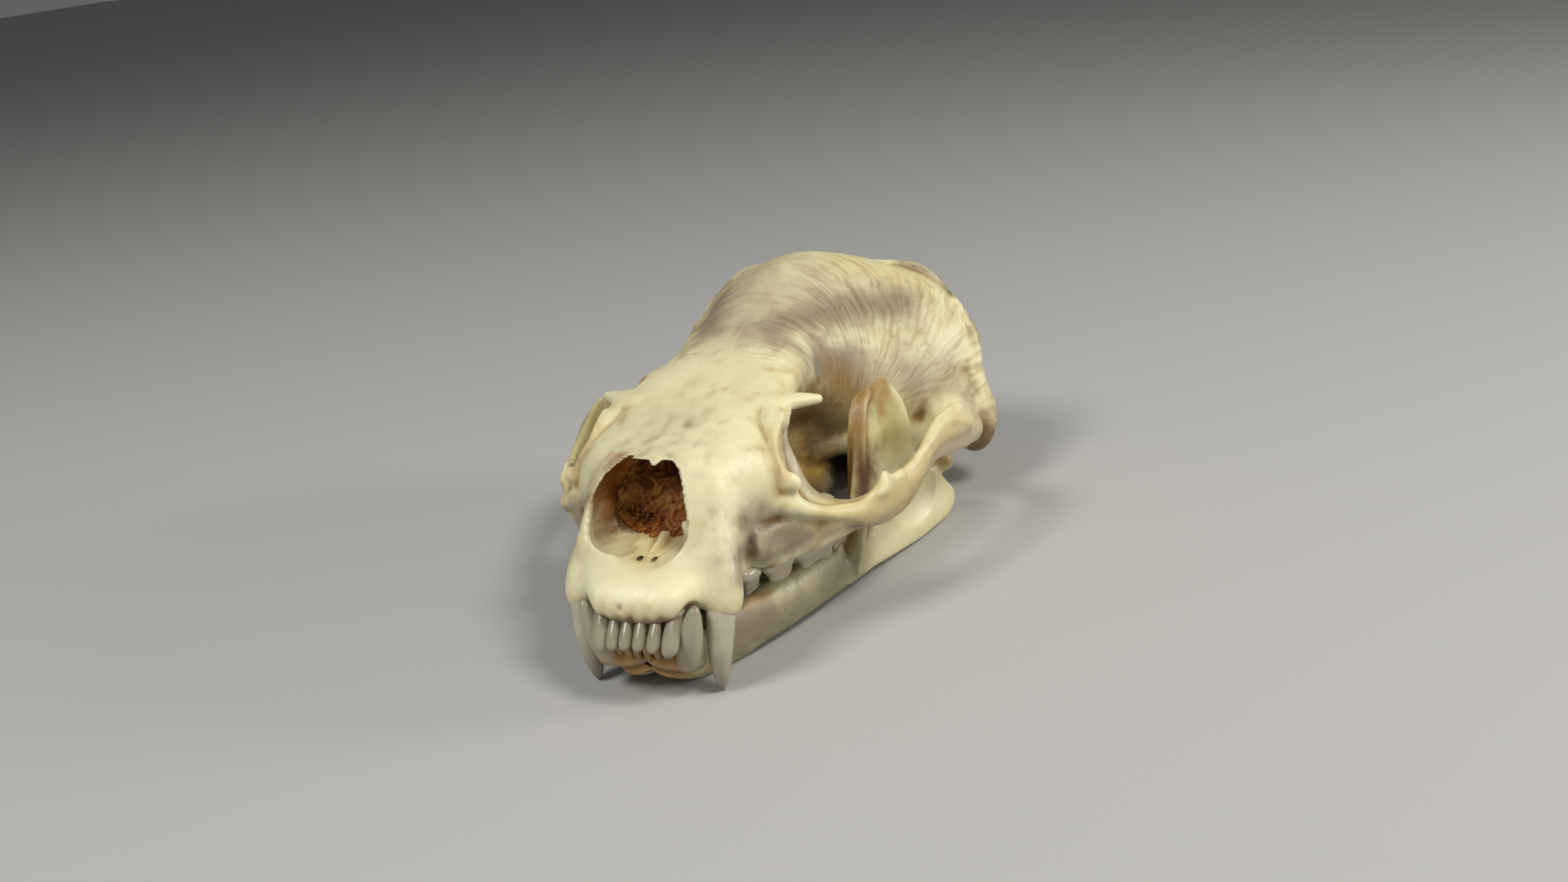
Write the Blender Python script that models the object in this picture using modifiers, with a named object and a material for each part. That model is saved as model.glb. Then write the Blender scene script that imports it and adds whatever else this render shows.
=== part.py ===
"""Life-size skull of an adult river otter, jaw closed, resting on its mandible."""

import math

import bmesh
import bpy
import numpy as np
from mathutils import Matrix, Vector

MM = 0.001
GAP = 0.3  # face to face between touching nodes
VOXEL = 0.55  # grid of the fused bone
REST_PITCH = 3.7  # degrees, nose up, until the jaw lies on its lower border
FLAT_DEPTH = 0.35  # what the resting flats take off the lowest points

CRANIUM_TRIANGLES = 6000
DENTARY_TRIANGLES = 1200

# Every size below is in millimetres: x to the skull's left, y backwards from the
# front of the upper jaw, z up from the palate.

# y, half width, top, height of the widest point, bottom, upper and lower roundness
SNOUT = (
    (-0.8, 4.6, 2.8, 0.8, -0.9, 2.4, 2.4),
    (0.4, 7.2, 4.4, 1.0, -1.3, 2.6, 2.4),
    (2.4, 9.4, 5.8, 1.4, -1.5, 2.7, 2.4),
    (5.0, 10.9, 7.6, 2.0, -1.4, 2.8, 2.4),
    (6.8, 11.9, 10.2, 3.0, -1.2, 2.9, 2.4),
    (8.8, 12.6, 14.0, 4.4, -0.8, 3.0, 2.6),
    (11.2, 13.2, 18.4, 6.0, -0.4, 3.0, 2.8),
    (14.0, 13.9, 21.8, 9.0, 0.0, 2.8, 2.8),
    (17.0, 15.6, 23.2, 12.0, 0.0, 2.5, 2.4),
    (20.0, 18.2, 24.2, 13.8, 0.4, 2.3, 2.1),
    (22.5, 19.6, 24.9, 14.8, 1.0, 2.2, 2.0),
    (24.5, 18.4, 25.5, 17.0, 2.0, 2.2, 1.8),
    (27.0, 15.4, 26.2, 20.4, 3.0, 2.4, 1.6),
    (31.0, 12.6, 27.2, 23.0, 3.0, 2.6, 1.6),
    (36.0, 10.6, 28.0, 23.0, 4.0, 2.6, 1.8),
    (44.0, 8.8, 29.0, 20.0, 5.0, 2.4, 2.0),
)
FRONTAL = (
    (20.0, 12.0, 24.2, 19.0, 14.0, 2.8, 2.0),
    (26.0, 14.0, 26.0, 21.5, 16.0, 2.5, 2.0),
    (32.0, 15.0, 27.8, 24.2, 19.0, 2.5, 2.0),
    (38.0, 15.2, 29.4, 25.6, 20.0, 2.4, 2.0),
    (44.0, 14.0, 31.2, 26.2, 17.0, 2.1, 1.7),
    (50.0, 13.2, 33.2, 26.0, 12.0, 2.2, 1.5),
    (56.0, 13.8, 35.2, 24.0, 10.0, 2.2, 1.6),
    (62.0, 16.2, 37.0, 21.0, 9.0, 2.1, 1.9),
    (68.0, 19.2, 38.6, 18.0, 8.0, 1.85, 2.4),
    (74.0, 22.2, 40.0, 15.5, 6.0, 1.76, 2.6),
    (81.0, 25.2, 40.9, 14.0, 5.0, 1.68, 2.6),
    (88.0, 27.6, 40.9, 13.0, 4.5, 1.66, 2.6),
    (95.0, 30.0, 39.8, 13.0, 4.5, 1.68, 2.6),
    (100.0, 31.6, 37.6, 13.0, 5.0, 1.78, 2.6),
    (103.5, 30.0, 35.2, 13.0, 6.0, 1.9, 2.4),
    (106.0, 24.6, 32.0, 14.0, 6.5, 2.0, 2.3),
    (108.0, 15.0, 25.0, 14.0, 7.5, 2.0, 2.2),
    (109.2, 7.0, 20.0, 14.0, 9.0, 2.0, 2.0),
)
NASAL_TUBE = (
    (24.0, 9.5, 22.0, 12.0, 3.0, 2.2, 2.4),
    (32.0, 8.6, 23.0, 12.0, 2.4, 2.2, 2.4),
    (40.0, 8.2, 24.0, 11.0, 2.2, 2.2, 2.4),
    (48.0, 8.2, 25.0, 11.0, 3.0, 2.2, 2.4),
    (56.0, 9.0, 26.0, 12.0, 4.0, 2.2, 2.4),
    (64.0, 11.0, 26.0, 13.0, 5.0, 2.2, 2.4),
)
PALATE = (
    (6.0, 11.5, 4.0, 1.5, -0.2, 2.6, 3.2),
    (12.0, 12.8, 8.0, 2.0, 0.2, 2.8, 3.2),
    (18.0, 14.6, 7.0, 2.2, 0.4, 2.6, 3.2),
    (24.0, 17.2, 4.4, 2.0, 0.4, 2.6, 3.2),
    (31.0, 19.4, 4.8, 2.2, 0.2, 2.6, 3.2),
    (38.0, 20.0, 5.6, 2.6, 0.2, 2.6, 3.2),
    (44.0, 17.4, 5.6, 2.8, 0.6, 2.4, 3.0),
    (48.5, 12.0, 5.2, 3.2, 1.4, 2.2, 2.6),
    (53.0, 8.0, 6.0, 4.0, 2.4, 2.0, 2.2),
)
BASE = (
    (54.0, 7.6, 12.0, 8.0, 4.4, 2.0, 2.4),
    (62.0, 11.0, 12.0, 7.5, 4.4, 2.0, 2.4),
    (70.0, 17.0, 12.0, 7.6, 4.0, 2.2, 2.4),
    (78.0, 23.0, 12.0, 7.4, 3.4, 2.4, 2.6),
    (90.0, 26.6, 12.0, 7.0, 3.0, 2.6, 2.8),
    (98.0, 25.0, 14.0, 8.0, 4.0, 2.6, 2.6),
    (104.0, 15.0, 16.0, 10.0, 6.0, 2.4, 2.4),
    (107.0, 9.0, 14.0, 10.0, 7.0, 2.2, 2.2),
)

# x, y, z, half thickness across and half height of bars
ARCH = (
    (15.0, 20.6, 12.5, 2.2, 3.4),
    (19.6, 22.0, 11.4, 1.7, 2.4),
    (22.2, 23.8, 10.0, 1.35, 1.5),
    (24.2, 26.0, 8.9, 1.3, 1.25),
    (26.4, 29.4, 7.9, 1.35, 1.4),
    (28.4, 33.6, 7.2, 1.4, 2.2),
    (30.2, 38.0, 7.5, 1.4, 3.2),
    (32.0, 42.5, 8.3, 1.45, 3.1),
    (33.4, 46.5, 9.4, 1.45, 2.7),
    (34.0, 51.0, 10.8, 1.45, 2.9),
    (34.5, 55.0, 12.3, 1.45, 3.7),
    (35.2, 59.0, 12.7, 1.5, 4.5),
    (36.2, 63.0, 12.7, 1.5, 4.8),
    (37.0, 67.0, 12.0, 1.6, 4.6),
    (37.0, 71.0, 10.8, 1.8, 3.8),
    (36.4, 75.0, 9.0, 2.0, 2.8),
    (34.0, 78.0, 7.6, 2.4, 2.4),
    (29.0, 79.5, 7.6, 2.6, 2.4),
)
ARCH_ROOT_BAR = (
    (14.4, 18.0, 3.4, 2.2, 2.6),
    (17.6, 23.0, 3.4, 2.4, 2.4),
    (20.6, 27.4, 4.2, 2.8, 3.4),
    (23.6, 31.6, 5.2, 2.8, 3.6),
    (26.4, 35.4, 5.8, 2.4, 3.0),
    (28.6, 38.4, 6.2, 2.0, 2.4),
    (30.2, 41.0, 6.8, 1.2, 1.6),
)
JUGAL_POINT = (
    (30.6, 38.2, 9.0, 1.2, 2.0),
    (30.5, 38.2, 11.0, 0.9, 1.2),
    (30.4, 38.0, 12.6, 0.6, 0.7),
)
POSTORBITAL = (
    (10.0, 33.6, 25.2, 4.8, 2.2),
    (14.0, 34.8, 25.4, 3.6, 1.7),
    (17.2, 36.2, 25.4, 2.2, 1.2),
    (19.4, 37.2, 25.3, 1.3, 1.0),
    (20.8, 37.9, 25.2, 0.8, 0.8),
)
ORBIT_RIM = (
    (13.4, 33.0, 25.4, 1.1, 1.3),
    (14.8, 28.4, 24.4, 1.2, 1.3),
    (16.2, 25.2, 21.6, 1.3, 1.3),
    (18.2, 23.2, 18.0, 1.3, 1.3),
    (19.6, 22.4, 14.4, 1.3, 1.3),
    (20.4, 23.0, 11.4, 1.2, 1.2),
)
# The two edges of the thin wall at the front and floor of the orbit
ORBIT_WALL_OUTER = (
    (16.0, 32.0, 25.0),
    (15.6, 27.6, 24.0),
    (16.8, 25.0, 21.0),
    (18.6, 23.4, 17.6),
    (19.8, 22.8, 14.4),
    (20.8, 23.8, 11.4),
    (23.4, 26.0, 9.6),
    (26.0, 29.6, 8.6),
    (28.2, 34.0, 8.2),
    (29.6, 38.0, 8.0),
)
ORBIT_WALL_INNER = (
    (17.4, 32.6, 24.4),
    (17.6, 30.0, 22.8),
    (18.0, 28.4, 20.8),
    (18.9, 27.6, 18.4),
    (19.7, 27.8, 15.8),
    (20.2, 29.4, 13.0),
    (20.8, 32.0, 10.4),
    (21.4, 35.2, 8.2),
    (22.4, 38.8, 6.2),
    (23.8, 41.0, 4.8),
)
PTERYGOID = (
    (7.6, 46.0, 5.0, 1.2, 4.4),
    (7.8, 54.0, 3.4, 1.0, 5.0),
    (8.2, 62.0, 2.2, 0.9, 4.8),
    (8.6, 68.0, 1.6, 0.9, 4.0),
    (8.8, 72.0, 0.8, 0.8, 2.4),
)
NUCHAL_CREST = (
    (32.8, 93.0, 5.0, 2.4, 3.4),
    (32.4, 95.4, 11.0, 2.0, 2.8),
    (30.6, 98.4, 16.6, 1.6, 2.2),
    (28.0, 101.0, 22.2, 1.4, 2.0),
    (23.8, 103.4, 27.4, 1.4, 1.9),
    (17.4, 105.0, 31.8, 1.4, 1.9),
    (9.0, 105.8, 34.4, 1.4, 1.9),
    (0.0, 106.0, 35.2, 1.4, 1.9),
)
CANINE_BULGE = (
    (12.1, 7.4, 0.0, 3.0, 3.3),
    (12.0, 9.0, 4.6, 2.8, 3.0),
    (11.6, 11.6, 9.4, 2.4, 2.6),
    (11.2, 14.2, 13.4, 1.8, 2.0),
)

# centre, radii
LUMPS = (
    ((31.6, 94.0, 5.6), (4.8, 5.6, 7.8)),
    ((28.0, 90.0, 9.0), (5.4, 11.0, 7.0)),
    ((15.6, 84.6, 2.4), (8.6, 12.0, 5.8)),
    ((24.6, 97.0, 3.4), (4.4, 3.4, 4.6)),
    ((8.4, 106.4, 8.8), (5.0, 3.8, 4.2)),
    ((27.0, 80.4, 5.0), (7.0, 1.7, 3.4)),
    ((16.8, 41.5, 3.6), (3.2, 6.0, 3.0)),
)
RIM_KNOB = ((20.0, 21.9, 15.6), (1.9, 1.5, 1.8))
APERTURE = (
    (0.0, 13.4, 20.6),
    (2.1, 14.0, 21.8),
    (4.6, 13.0, 20.0),
    (6.0, 11.1, 16.1),
    (7.1, 8.9, 11.6),
    (5.8, 7.4, 8.8),
    (3.0, 6.4, 6.9),
    (0.0, 6.1, 6.4),
)
FORAMEN_MAGNUM = ((0.0, 108.5, 15.0), (6.8, 10.0, 6.2))
INFRAORBITAL = (
    (19.6, 17.5, 5.4, 3.6, 3.2),
    (19.8, 23.0, 5.6, 3.4, 2.9),
    (20.4, 28.0, 5.8, 2.6, 2.2),
    (21.4, 33.0, 6.0, 1.2, 1.2),
)
NOTCH = (7.0, 4.4, -7.0, 9.8, 2.3, 2.4, 6.0, 6.0, 1.9)  # room for the lower canine

# The jaw, in the same columns
JAW_BODY = (
    (2.2, 3.4, -8.6, 2.6, 1.6),
    (3.0, 6.0, -9.6, 3.4, 3.1),
    (4.4, 10.0, -10.1, 3.9, 4.5),
    (7.2, 15.0, -9.8, 3.5, 4.7),
    (10.4, 20.0, -8.9, 2.9, 4.2),
    (14.0, 28.0, -8.0, 2.6, 3.9),
    (16.8, 36.0, -7.8, 2.5, 3.5),
    (18.6, 40.4, -7.4, 2.3, 3.6),
    (20.6, 45.0, -5.6, 2.1, 5.4),
    (23.0, 52.0, -3.6, 1.8, 7.0),
    (25.2, 60.0, -3.2, 1.6, 7.6),
    (27.2, 67.0, -3.6, 1.6, 7.2),
    (28.4, 73.0, -5.0, 1.6, 5.6),
    (29.0, 78.0, -6.6, 1.7, 3.6),
    (29.2, 81.6, -7.0, 1.1, 1.8),
)
# x, y, z, half thickness, half length, and how far the rear edge leans outwards
CORONOID = (
    (23.2, 57.4, -7.0, 1.6, 11.0, 0.05),
    (23.6, 56.6, -3.0, 1.5, 13.0, 0.08),
    (24.0, 55.9, 3.5, 1.4, 14.4, 0.10),
    (24.2, 56.4, 9.0, 1.3, 12.4, 0.14),
    (24.2, 57.0, 14.0, 1.2, 10.2, 0.18),
    (24.0, 57.2, 18.0, 1.1, 8.0, 0.20),
    (23.8, 57.6, 20.4, 1.0, 5.6, 0.20),
    (23.6, 59.0, 22.0, 0.9, 2.8, 0.20),
    (23.5, 60.2, 22.9, 0.6, 0.9, 0.20),
)
RAMUS_RIDGE = (
    (18.6, 40.0, -8.4, 1.6, 2.4),
    (21.0, 43.4, -5.6, 1.6, 2.2),
    (22.8, 44.2, -1.6, 1.4, 1.8),
    (23.6, 43.0, 2.6, 1.2, 1.4),
)
CORONOID_INNER = (
    (22.4, 50.4, 19.0, 0.9, 0.9),
    (21.8, 48.4, 13.0, 1.1, 1.1),
    (20.9, 46.4, 7.0, 1.2, 1.2),
    (20.8, 45.4, 2.0, 1.2, 1.2),
    (20.2, 44.8, -2.6, 1.2, 1.2),
)
CONDYLE_NECK = (
    (27.6, 69.6, -2.6, 1.6, 4.0),
    (28.0, 74.0, 0.4, 1.9, 2.6),
)
CONDYLE = (
    (22.8, 74.6, 1.4, 1.2, 1.4),
    (24.6, 75.0, 1.7, 2.0, 2.1),
    (28.0, 75.4, 2.0, 2.2, 2.3),
    (32.0, 75.4, 2.2, 1.9, 2.0),
    (34.0, 75.2, 2.4, 1.1, 1.2),
)
MASSETER_CUT = ((31.0, 59.0, 1.0), (5.8, 17.0, 11.0))

# Teeth: root x, y, z, tip x, y, z, width, depth, bluntness (1 cone, 2.5 block), and
# for an incisor how narrow its neck is
UPPER_TEETH = (
    (1.2, 1.8, 0.6, 1.2, -1.8, -4.9, 2.5, 2.5, 2.6, 0.66),
    (3.7, 2.2, 0.6, 3.5, -1.5, -5.2, 2.6, 2.7, 2.4, 0.66),
    (6.6, 2.8, 0.6, 5.8, -0.6, -6.2, 3.6, 3.4, 2.0, 0.8),
    (12.4, 7.8, 2.0, 11.2, 6.4, -14.3, 4.9, 5.6, 1.4),
    (11.4, 12.4, 1.4, 11.4, 12.6, -1.4, 1.8, 2.2, 1.8),
    (12.8, 16.2, 1.6, 13.2, 16.0, -2.6, 2.8, 4.4, 1.5),
    (14.4, 20.8, 1.6, 14.8, 20.6, -3.2, 3.0, 5.2, 1.5),
    (16.6, 26.2, 1.6, 17.4, 26.2, -3.8, 3.2, 6.4, 1.5),
    (18.2, 30.8, 1.6, 18.8, 31.0, -3.0, 3.0, 4.6, 1.7),
    (13.6, 26.6, 1.6, 13.6, 26.4, -1.8, 4.4, 4.6, 1.8),
    (18.8, 34.8, 1.6, 19.3, 34.6, -3.6, 3.2, 4.8, 1.7),
    (18.6, 38.4, 1.6, 19.2, 38.4, -3.8, 3.2, 3.8, 1.8),
    (14.8, 36.6, 1.6, 14.6, 36.6, -1.4, 5.4, 6.2, 2.2),
)
LOWER_TEETH = (
    (0.9, 2.8, -8.6, 0.9, 1.0, -4.0, 1.4, 2.0, 2.4),
    (2.5, 3.2, -8.6, 2.6, 1.2, -3.6, 1.6, 2.2, 2.4),
    (4.3, 3.6, -8.6, 4.4, 1.6, -3.6, 1.8, 2.4, 2.2),
    (6.8, 4.6, -9.8, 9.8, 2.3, 1.6, 4.8, 4.8, 1.5),
    (7.8, 12.0, -5.6, 7.9, 11.8, -2.6, 2.0, 3.6, 1.6),
    (9.4, 16.6, -5.8, 9.4, 16.4, -2.4, 2.4, 4.4, 1.5),
    (11.0, 21.8, -6.0, 10.8, 21.6, -2.2, 2.6, 5.0, 1.5),
    (12.4, 29.6, -5.6, 12.2, 29.6, -2.6, 2.8, 5.4, 1.7),
    (14.6, 34.8, -5.6, 14.2, 34.8, -2.2, 2.8, 4.6, 2.2),
    (15.8, 39.6, -5.4, 15.4, 39.6, -2.4, 2.8, 3.8, 2.2),
)


def interpolate(rows, count):
    """Rows resampled evenly by their running length, smoothly and without overshoot."""
    rows = np.array(rows, float)
    steps = np.linalg.norm(np.diff(rows[:, :3], axis=0), axis=1)
    at = np.concatenate([[0.0], np.cumsum(np.maximum(steps, 1e-6))])
    slope = np.diff(rows, axis=0) / np.diff(at)[:, None]
    tangent = np.zeros_like(rows)
    tangent[0], tangent[-1] = slope[0], slope[-1]
    same = slope[:-1] * slope[1:] > 0
    both = 2 * slope[:-1] * slope[1:]
    total = np.where(same, slope[:-1] + slope[1:], 1.0)
    tangent[1:-1] = np.where(same, both / total, 0.0)
    wanted = np.linspace(0, at[-1], count)
    index = np.clip(np.searchsorted(at, wanted, side="right") - 1, 0, len(at) - 2)
    span = np.diff(at)[index]
    t = ((wanted - at[index]) / span)[:, None]
    span = span[:, None]
    start, end = rows[index], rows[index + 1]
    return (
        (2 * t**3 - 3 * t**2 + 1) * start
        + (t**3 - 2 * t**2 + t) * span * tangent[index]
        + (3 * t**2 - 2 * t**3) * end
        + (t**3 - t**2) * span * tangent[index + 1]
    )


def power(value, exponent):
    return math.copysign(abs(value) ** exponent, value)


def mesh_object(name, bm):
    bmesh.ops.recalc_face_normals(bm, faces=bm.faces)
    mesh = bpy.data.meshes.new(name)
    bm.to_mesh(mesh)
    bm.free()
    obj = bpy.data.objects.new(name, mesh)
    bpy.context.scene.collection.objects.link(obj)
    return obj


def loft(name, rings):
    """A closed skin over rings of equal count."""
    bm = bmesh.new()
    loops = [[bm.verts.new(Vector(point) * MM) for point in ring] for ring in rings]
    for first, second in zip(loops, loops[1:]):
        for i in range(len(first)):
            j = (i + 1) % len(first)
            bm.faces.new((first[i], first[j], second[j], second[i]))
    bm.faces.new(loops[0])
    bm.faces.new(reversed(loops[-1]))
    return mesh_object(name, bm)


def body(name, rows, rings=40, sides=48):
    """A symmetric loft along y."""
    shapes = []
    for y, half, top, middle, bottom, upper, lower in interpolate(rows, rings):
        ring = []
        for i in range(sides):
            angle = 2 * math.pi * i / sides
            across, along = math.cos(angle), math.sin(angle)
            bend = 2 / (upper if along > 0 else lower)
            reach = top - middle if along > 0 else middle - bottom
            ring.append((half * power(across, bend), y, middle + reach * power(along, bend)))
        shapes.append(ring)
    return loft(name, shapes)


def bar(name, rows, side=1.0, rings=28, sides=20, fullness=2.3):
    """A bar or plate along a path, its section upright."""
    path = interpolate(rows, rings)
    points = [Vector((side * row[0], row[1], row[2])) for row in path]
    shapes = []
    for i, row in enumerate(path):
        ahead = points[min(i + 1, rings - 1)] - points[max(i - 1, 0)]
        up = Vector((0, 1, 0)) if abs(ahead.normalized().z) > 0.75 else Vector((0, 0, 1))
        across = ahead.cross(up).normalized()
        up = across.cross(ahead).normalized()
        ring = []
        for j in range(sides):
            angle = 2 * math.pi * j / sides
            a = power(math.cos(angle), 2 / fullness) * row[3]
            b = power(math.sin(angle), 2 / fullness) * row[4]
            ring.append(points[i] + across * a + up * b)
        shapes.append(ring)
    return loft(name, shapes)


def sheet(name, outer, inner, side=1.0, half=0.6, rings=26, sides=12):
    """A thin wall between two edges."""
    first, second = interpolate(outer, rings), interpolate(inner, rings)
    mirror = Matrix.Diagonal((side, 1.0, 1.0))
    middles = [(Vector(a) + Vector(b)) / 2 for a, b in zip(first, second)]
    shapes = []
    for i, (a, b) in enumerate(zip(first, second)):
        ahead = middles[min(i + 1, rings - 1)] - middles[max(i - 1, 0)]
        reach = (Vector(b) - Vector(a)) / 2
        out = ahead.cross(reach).normalized() * half
        ring = []
        for j in range(sides):
            angle = 2 * math.pi * j / sides
            point = middles[i] + reach * math.cos(angle) + out * math.sin(angle)
            ring.append(mirror @ point)
        shapes.append(ring)
    return loft(name, shapes)


def plate(name, rows, side=1.0, rings=24, sides=24, fullness=2.2):
    """A plate that stands up: half thickness along x and half length along y."""
    shapes = []
    for row in interpolate(rows, rings):
        ring = []
        for j in range(sides):
            angle = 2 * math.pi * j / sides
            a = power(math.cos(angle), 2 / fullness) * row[3]
            b = power(math.sin(angle), 2 / fullness) * row[4]
            ring.append((side * (row[0] + a + row[5] * b), row[1] + b, row[2]))
        shapes.append(ring)
    return loft(name, shapes)


def lump(name, centre, radii, side=1.0):
    bm = bmesh.new()
    bmesh.ops.create_uvsphere(bm, u_segments=24, v_segments=16, radius=1.0)
    place = Vector((side * centre[0], centre[1], centre[2])) * MM
    scale = Matrix.Diagonal(Vector(radii) * MM).to_4x4()
    bm.transform(Matrix.Translation(place) @ scale)
    return mesh_object(name, bm)


def box(name, centre, size, turn=None):
    bm = bmesh.new()
    bmesh.ops.create_cube(bm, size=1.0)
    turned = turn if turn else Matrix.Identity(4)
    scale = Matrix.Diagonal(Vector(size) * MM).to_4x4()
    bm.transform(Matrix.Translation(Vector(centre) * MM) @ turned @ scale)
    return mesh_object(name, bm)


def discard(objects):
    for obj in objects:
        bpy.data.objects.remove(obj, do_unlink=True)


def bake(obj):
    """Applies the object's modifiers to its mesh."""
    bpy.context.view_layer.update()
    graph = bpy.context.evaluated_depsgraph_get()
    mesh = bpy.data.meshes.new_from_object(obj.evaluated_get(graph))
    obj.modifiers.clear()
    obj.data = mesh


def join(name, pieces):
    bm = bmesh.new()
    for piece in pieces:
        bm.from_mesh(piece.data)
    discard(pieces)
    mesh = bpy.data.meshes.new(name)
    bm.to_mesh(mesh)
    bm.free()
    obj = bpy.data.objects.new(name, mesh)
    bpy.context.scene.collection.objects.link(obj)
    return obj


def fuse(name, pieces, rounds):
    """One skin round overlapping pieces, with soft inner corners."""
    obj = join(name, pieces)
    grid = obj.modifiers.new("grid", "REMESH")
    grid.mode = "VOXEL"
    grid.voxel_size = VOXEL * MM
    soft = obj.modifiers.new("soft", "SMOOTH")
    soft.factor = 0.5
    soft.iterations = rounds
    bake(obj)
    return obj


def thin_out(obj, triangles):
    obj.data.calc_loop_triangles()
    fewer = obj.modifiers.new("fewer", "DECIMATE")
    fewer.ratio = triangles / len(obj.data.loop_triangles)
    fewer.use_collapse_triangulate = True
    bake(obj)


def combine(obj, others, operation, solver="EXACT"):
    """The object united with, or cut by, all of the others at once."""
    group = bpy.data.collections.new("others")
    for other in others:
        group.objects.link(other)
    step = obj.modifiers.new("step", "BOOLEAN")
    step.operation = operation
    step.operand_type = "COLLECTION"
    step.collection = group
    step.solver = solver
    bake(obj)
    discard(others)
    bpy.data.collections.remove(group)


def shells(obj):
    """The closed surfaces of a mesh, largest first, each as its own object."""
    bm = bmesh.new()
    bm.from_mesh(obj.data)
    left = set(bm.faces)
    groups = []
    while left:
        stack = [left.pop()]
        group = []
        while stack:
            face = stack.pop()
            group.append(face.index)
            for edge in face.edges:
                for near in edge.link_faces:
                    if near in left:
                        left.remove(near)
                        stack.append(near)
        groups.append(group)
    bm.free()
    found = []
    for group in sorted(groups, key=len, reverse=True):
        bm = bmesh.new()
        bm.from_mesh(obj.data)
        bm.faces.ensure_lookup_table()
        keep = set(group)
        bmesh.ops.delete(bm, geom=[f for f in bm.faces if f.index not in keep], context="FACES")
        found.append(mesh_object(obj.name, bm))
    discard([obj])
    return found


def keep_largest(obj):
    name = obj.name
    found = shells(obj)
    discard(found[1:])
    found[0].name = name
    return found[0]


def centre(obj):
    corners = np.array([vertex.co for vertex in obj.data.vertices])
    return (corners.min(axis=0) + corners.max(axis=0)) / 2 / MM


def tooth(name, row, side=1.0, rings=6, sides=10):
    """A crown with its root: it swells just past the gum and closes to a blunt tip."""
    root = Vector((side * row[0], row[1], row[2]))
    tip = Vector((side * row[3], row[4], row[5]))
    width, depth, block = row[6:9]
    neck = row[9] if len(row) > 9 else 1.0
    across = Vector((1, 0, 0))
    bow = Vector((0, -0.06, 0)) * (tip - root).length
    shapes = []
    for i in range(rings):
        t = i / (rings - 1)
        size = (1 - 0.98 * t ** (1.3 * block)) ** 0.45
        size *= neck + (1 - neck) * min(1.0, 1.5 * t)
        middle = root.lerp(tip, t) + bow * math.sin(math.pi * t)
        ring = []
        for j in range(sides):
            angle = 2 * math.pi * j / sides
            ring.append(
                middle
                + across * (math.cos(angle) * width / 2 * size)
                + Vector((0, math.sin(angle) * depth / 2 * size, 0))
            )
        shapes.append(ring)
    return loft(name, shapes)


def both(make, name, rows, **more):
    return [make(name, rows, side=side, **more) for side in (1.0, -1.0)]


def build_cranium():
    core = [
        body("snout", SNOUT),
        body("frontal", FRONTAL, rings=70),
        body("tube", NASAL_TUBE),
        body("palate", PALATE),
        body("base", BASE),
    ]
    core += both(bar, "bulge", CANINE_BULGE) + both(bar, "root", ARCH_ROOT_BAR)
    for middle, radii in LUMPS:
        core += [lump("lump", middle, radii, side) for side in (1.0, -1.0)]
    pieces = [fuse("core", core, rounds=40)]
    for rows in (ARCH, JUGAL_POINT, POSTORBITAL, ORBIT_RIM, PTERYGOID, NUCHAL_CREST):
        pieces += both(bar, "bar", rows)
    for side in (1.0, -1.0):
        pieces.append(sheet("wall", ORBIT_WALL_OUTER, ORBIT_WALL_INNER, side))
        pieces.append(lump("knob", *RIM_KNOB, side))
    cranium = fuse("cranium", pieces, rounds=6)
    thin_out(cranium, CRANIUM_TRIANGLES)
    cutters = both(bar, "canal", INFRAORBITAL, rings=8, sides=12)
    cutters.append(nasal_cutter())
    cutters.append(lump("foramen", *FORAMEN_MAGNUM))
    combine(cranium, cutters, "DIFFERENCE", "MANIFOLD")
    return cranium


def nasal_cutter():
    """The nasal cavity, wider at its mouth."""
    half = interpolate(APERTURE, 15)
    outline = [Vector(point) for point in half]
    outline += [Vector((-point[0], point[1], point[2])) for point in half[-2:0:-1]]
    middle = sum(outline, Vector()) / len(outline)
    inward = Vector((0, 0.94, 0.1))
    shapes = []
    for depth, size in ((-9.0, 1.12), (-0.6, 1.0), (1.5, 0.98), (9.0, 0.95), (16.0, 0.7)):
        ring = []
        for point in outline:
            ring.append(middle + (point - middle) * size + inward * depth)
        shapes.append(ring)
    return loft("cavity", shapes)


def part_cranium(cranium):
    """Thin cuts between the face, the braincase and the two arches."""
    cuts = [box("cut", (0, 50.5, 15), (50, GAP, 80))]
    for side in (1.0, -1.0):
        front = Matrix.Rotation(side * math.radians(-37), 4, "Z")
        cuts.append(box("cut", (side * 25.4, 32.2, 7), (14, GAP, 16), front))
        cuts.append(box("cut", (side * 34.2, 77, 10), (GAP, 14, 16)))
    combine(cranium, cuts, "DIFFERENCE", "EXACT")
    named = {}
    for piece in shells(cranium):
        x, y, _ = centre(piece)
        if abs(x) > 12:
            key = "zygomatic_arch_left" if x > 0 else "zygomatic_arch_right"
        else:
            key = "face" if y < 50 else "braincase"
        if key in named:
            discard([piece])
        else:
            named[key] = piece
            piece.name = key
    return named


def build_dentary(side):
    pieces = [
        bar("body", JAW_BODY, side),
        plate("coronoid", CORONOID, side),
        bar("ridge", RAMUS_RIDGE, side),
        bar("inner", CORONOID_INNER, side, rings=14, sides=12),
        bar("neck", CONDYLE_NECK, side),
        bar("condyle", CONDYLE, side),
    ]
    dentary = fuse("dentary", pieces, rounds=6)
    thin_out(dentary, DENTARY_TRIANGLES)
    trim = box("trim", (-side * 10 + side * GAP / 2, 10, -10), (20, 80, 60))
    fossa = lump("fossa", *MASSETER_CUT, side=side)
    combine(dentary, [trim, fossa], "DIFFERENCE", "MANIFOLD")
    return keep_largest(dentary)


def cut_notches(face):
    """The lower canines pass through notches beside the premaxilla."""
    sockets = [tooth("socket", NOTCH, side) for side in (1.0, -1.0)]
    combine(face, sockets, "DIFFERENCE", "MANIFOLD")
    return keep_largest(face)


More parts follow.
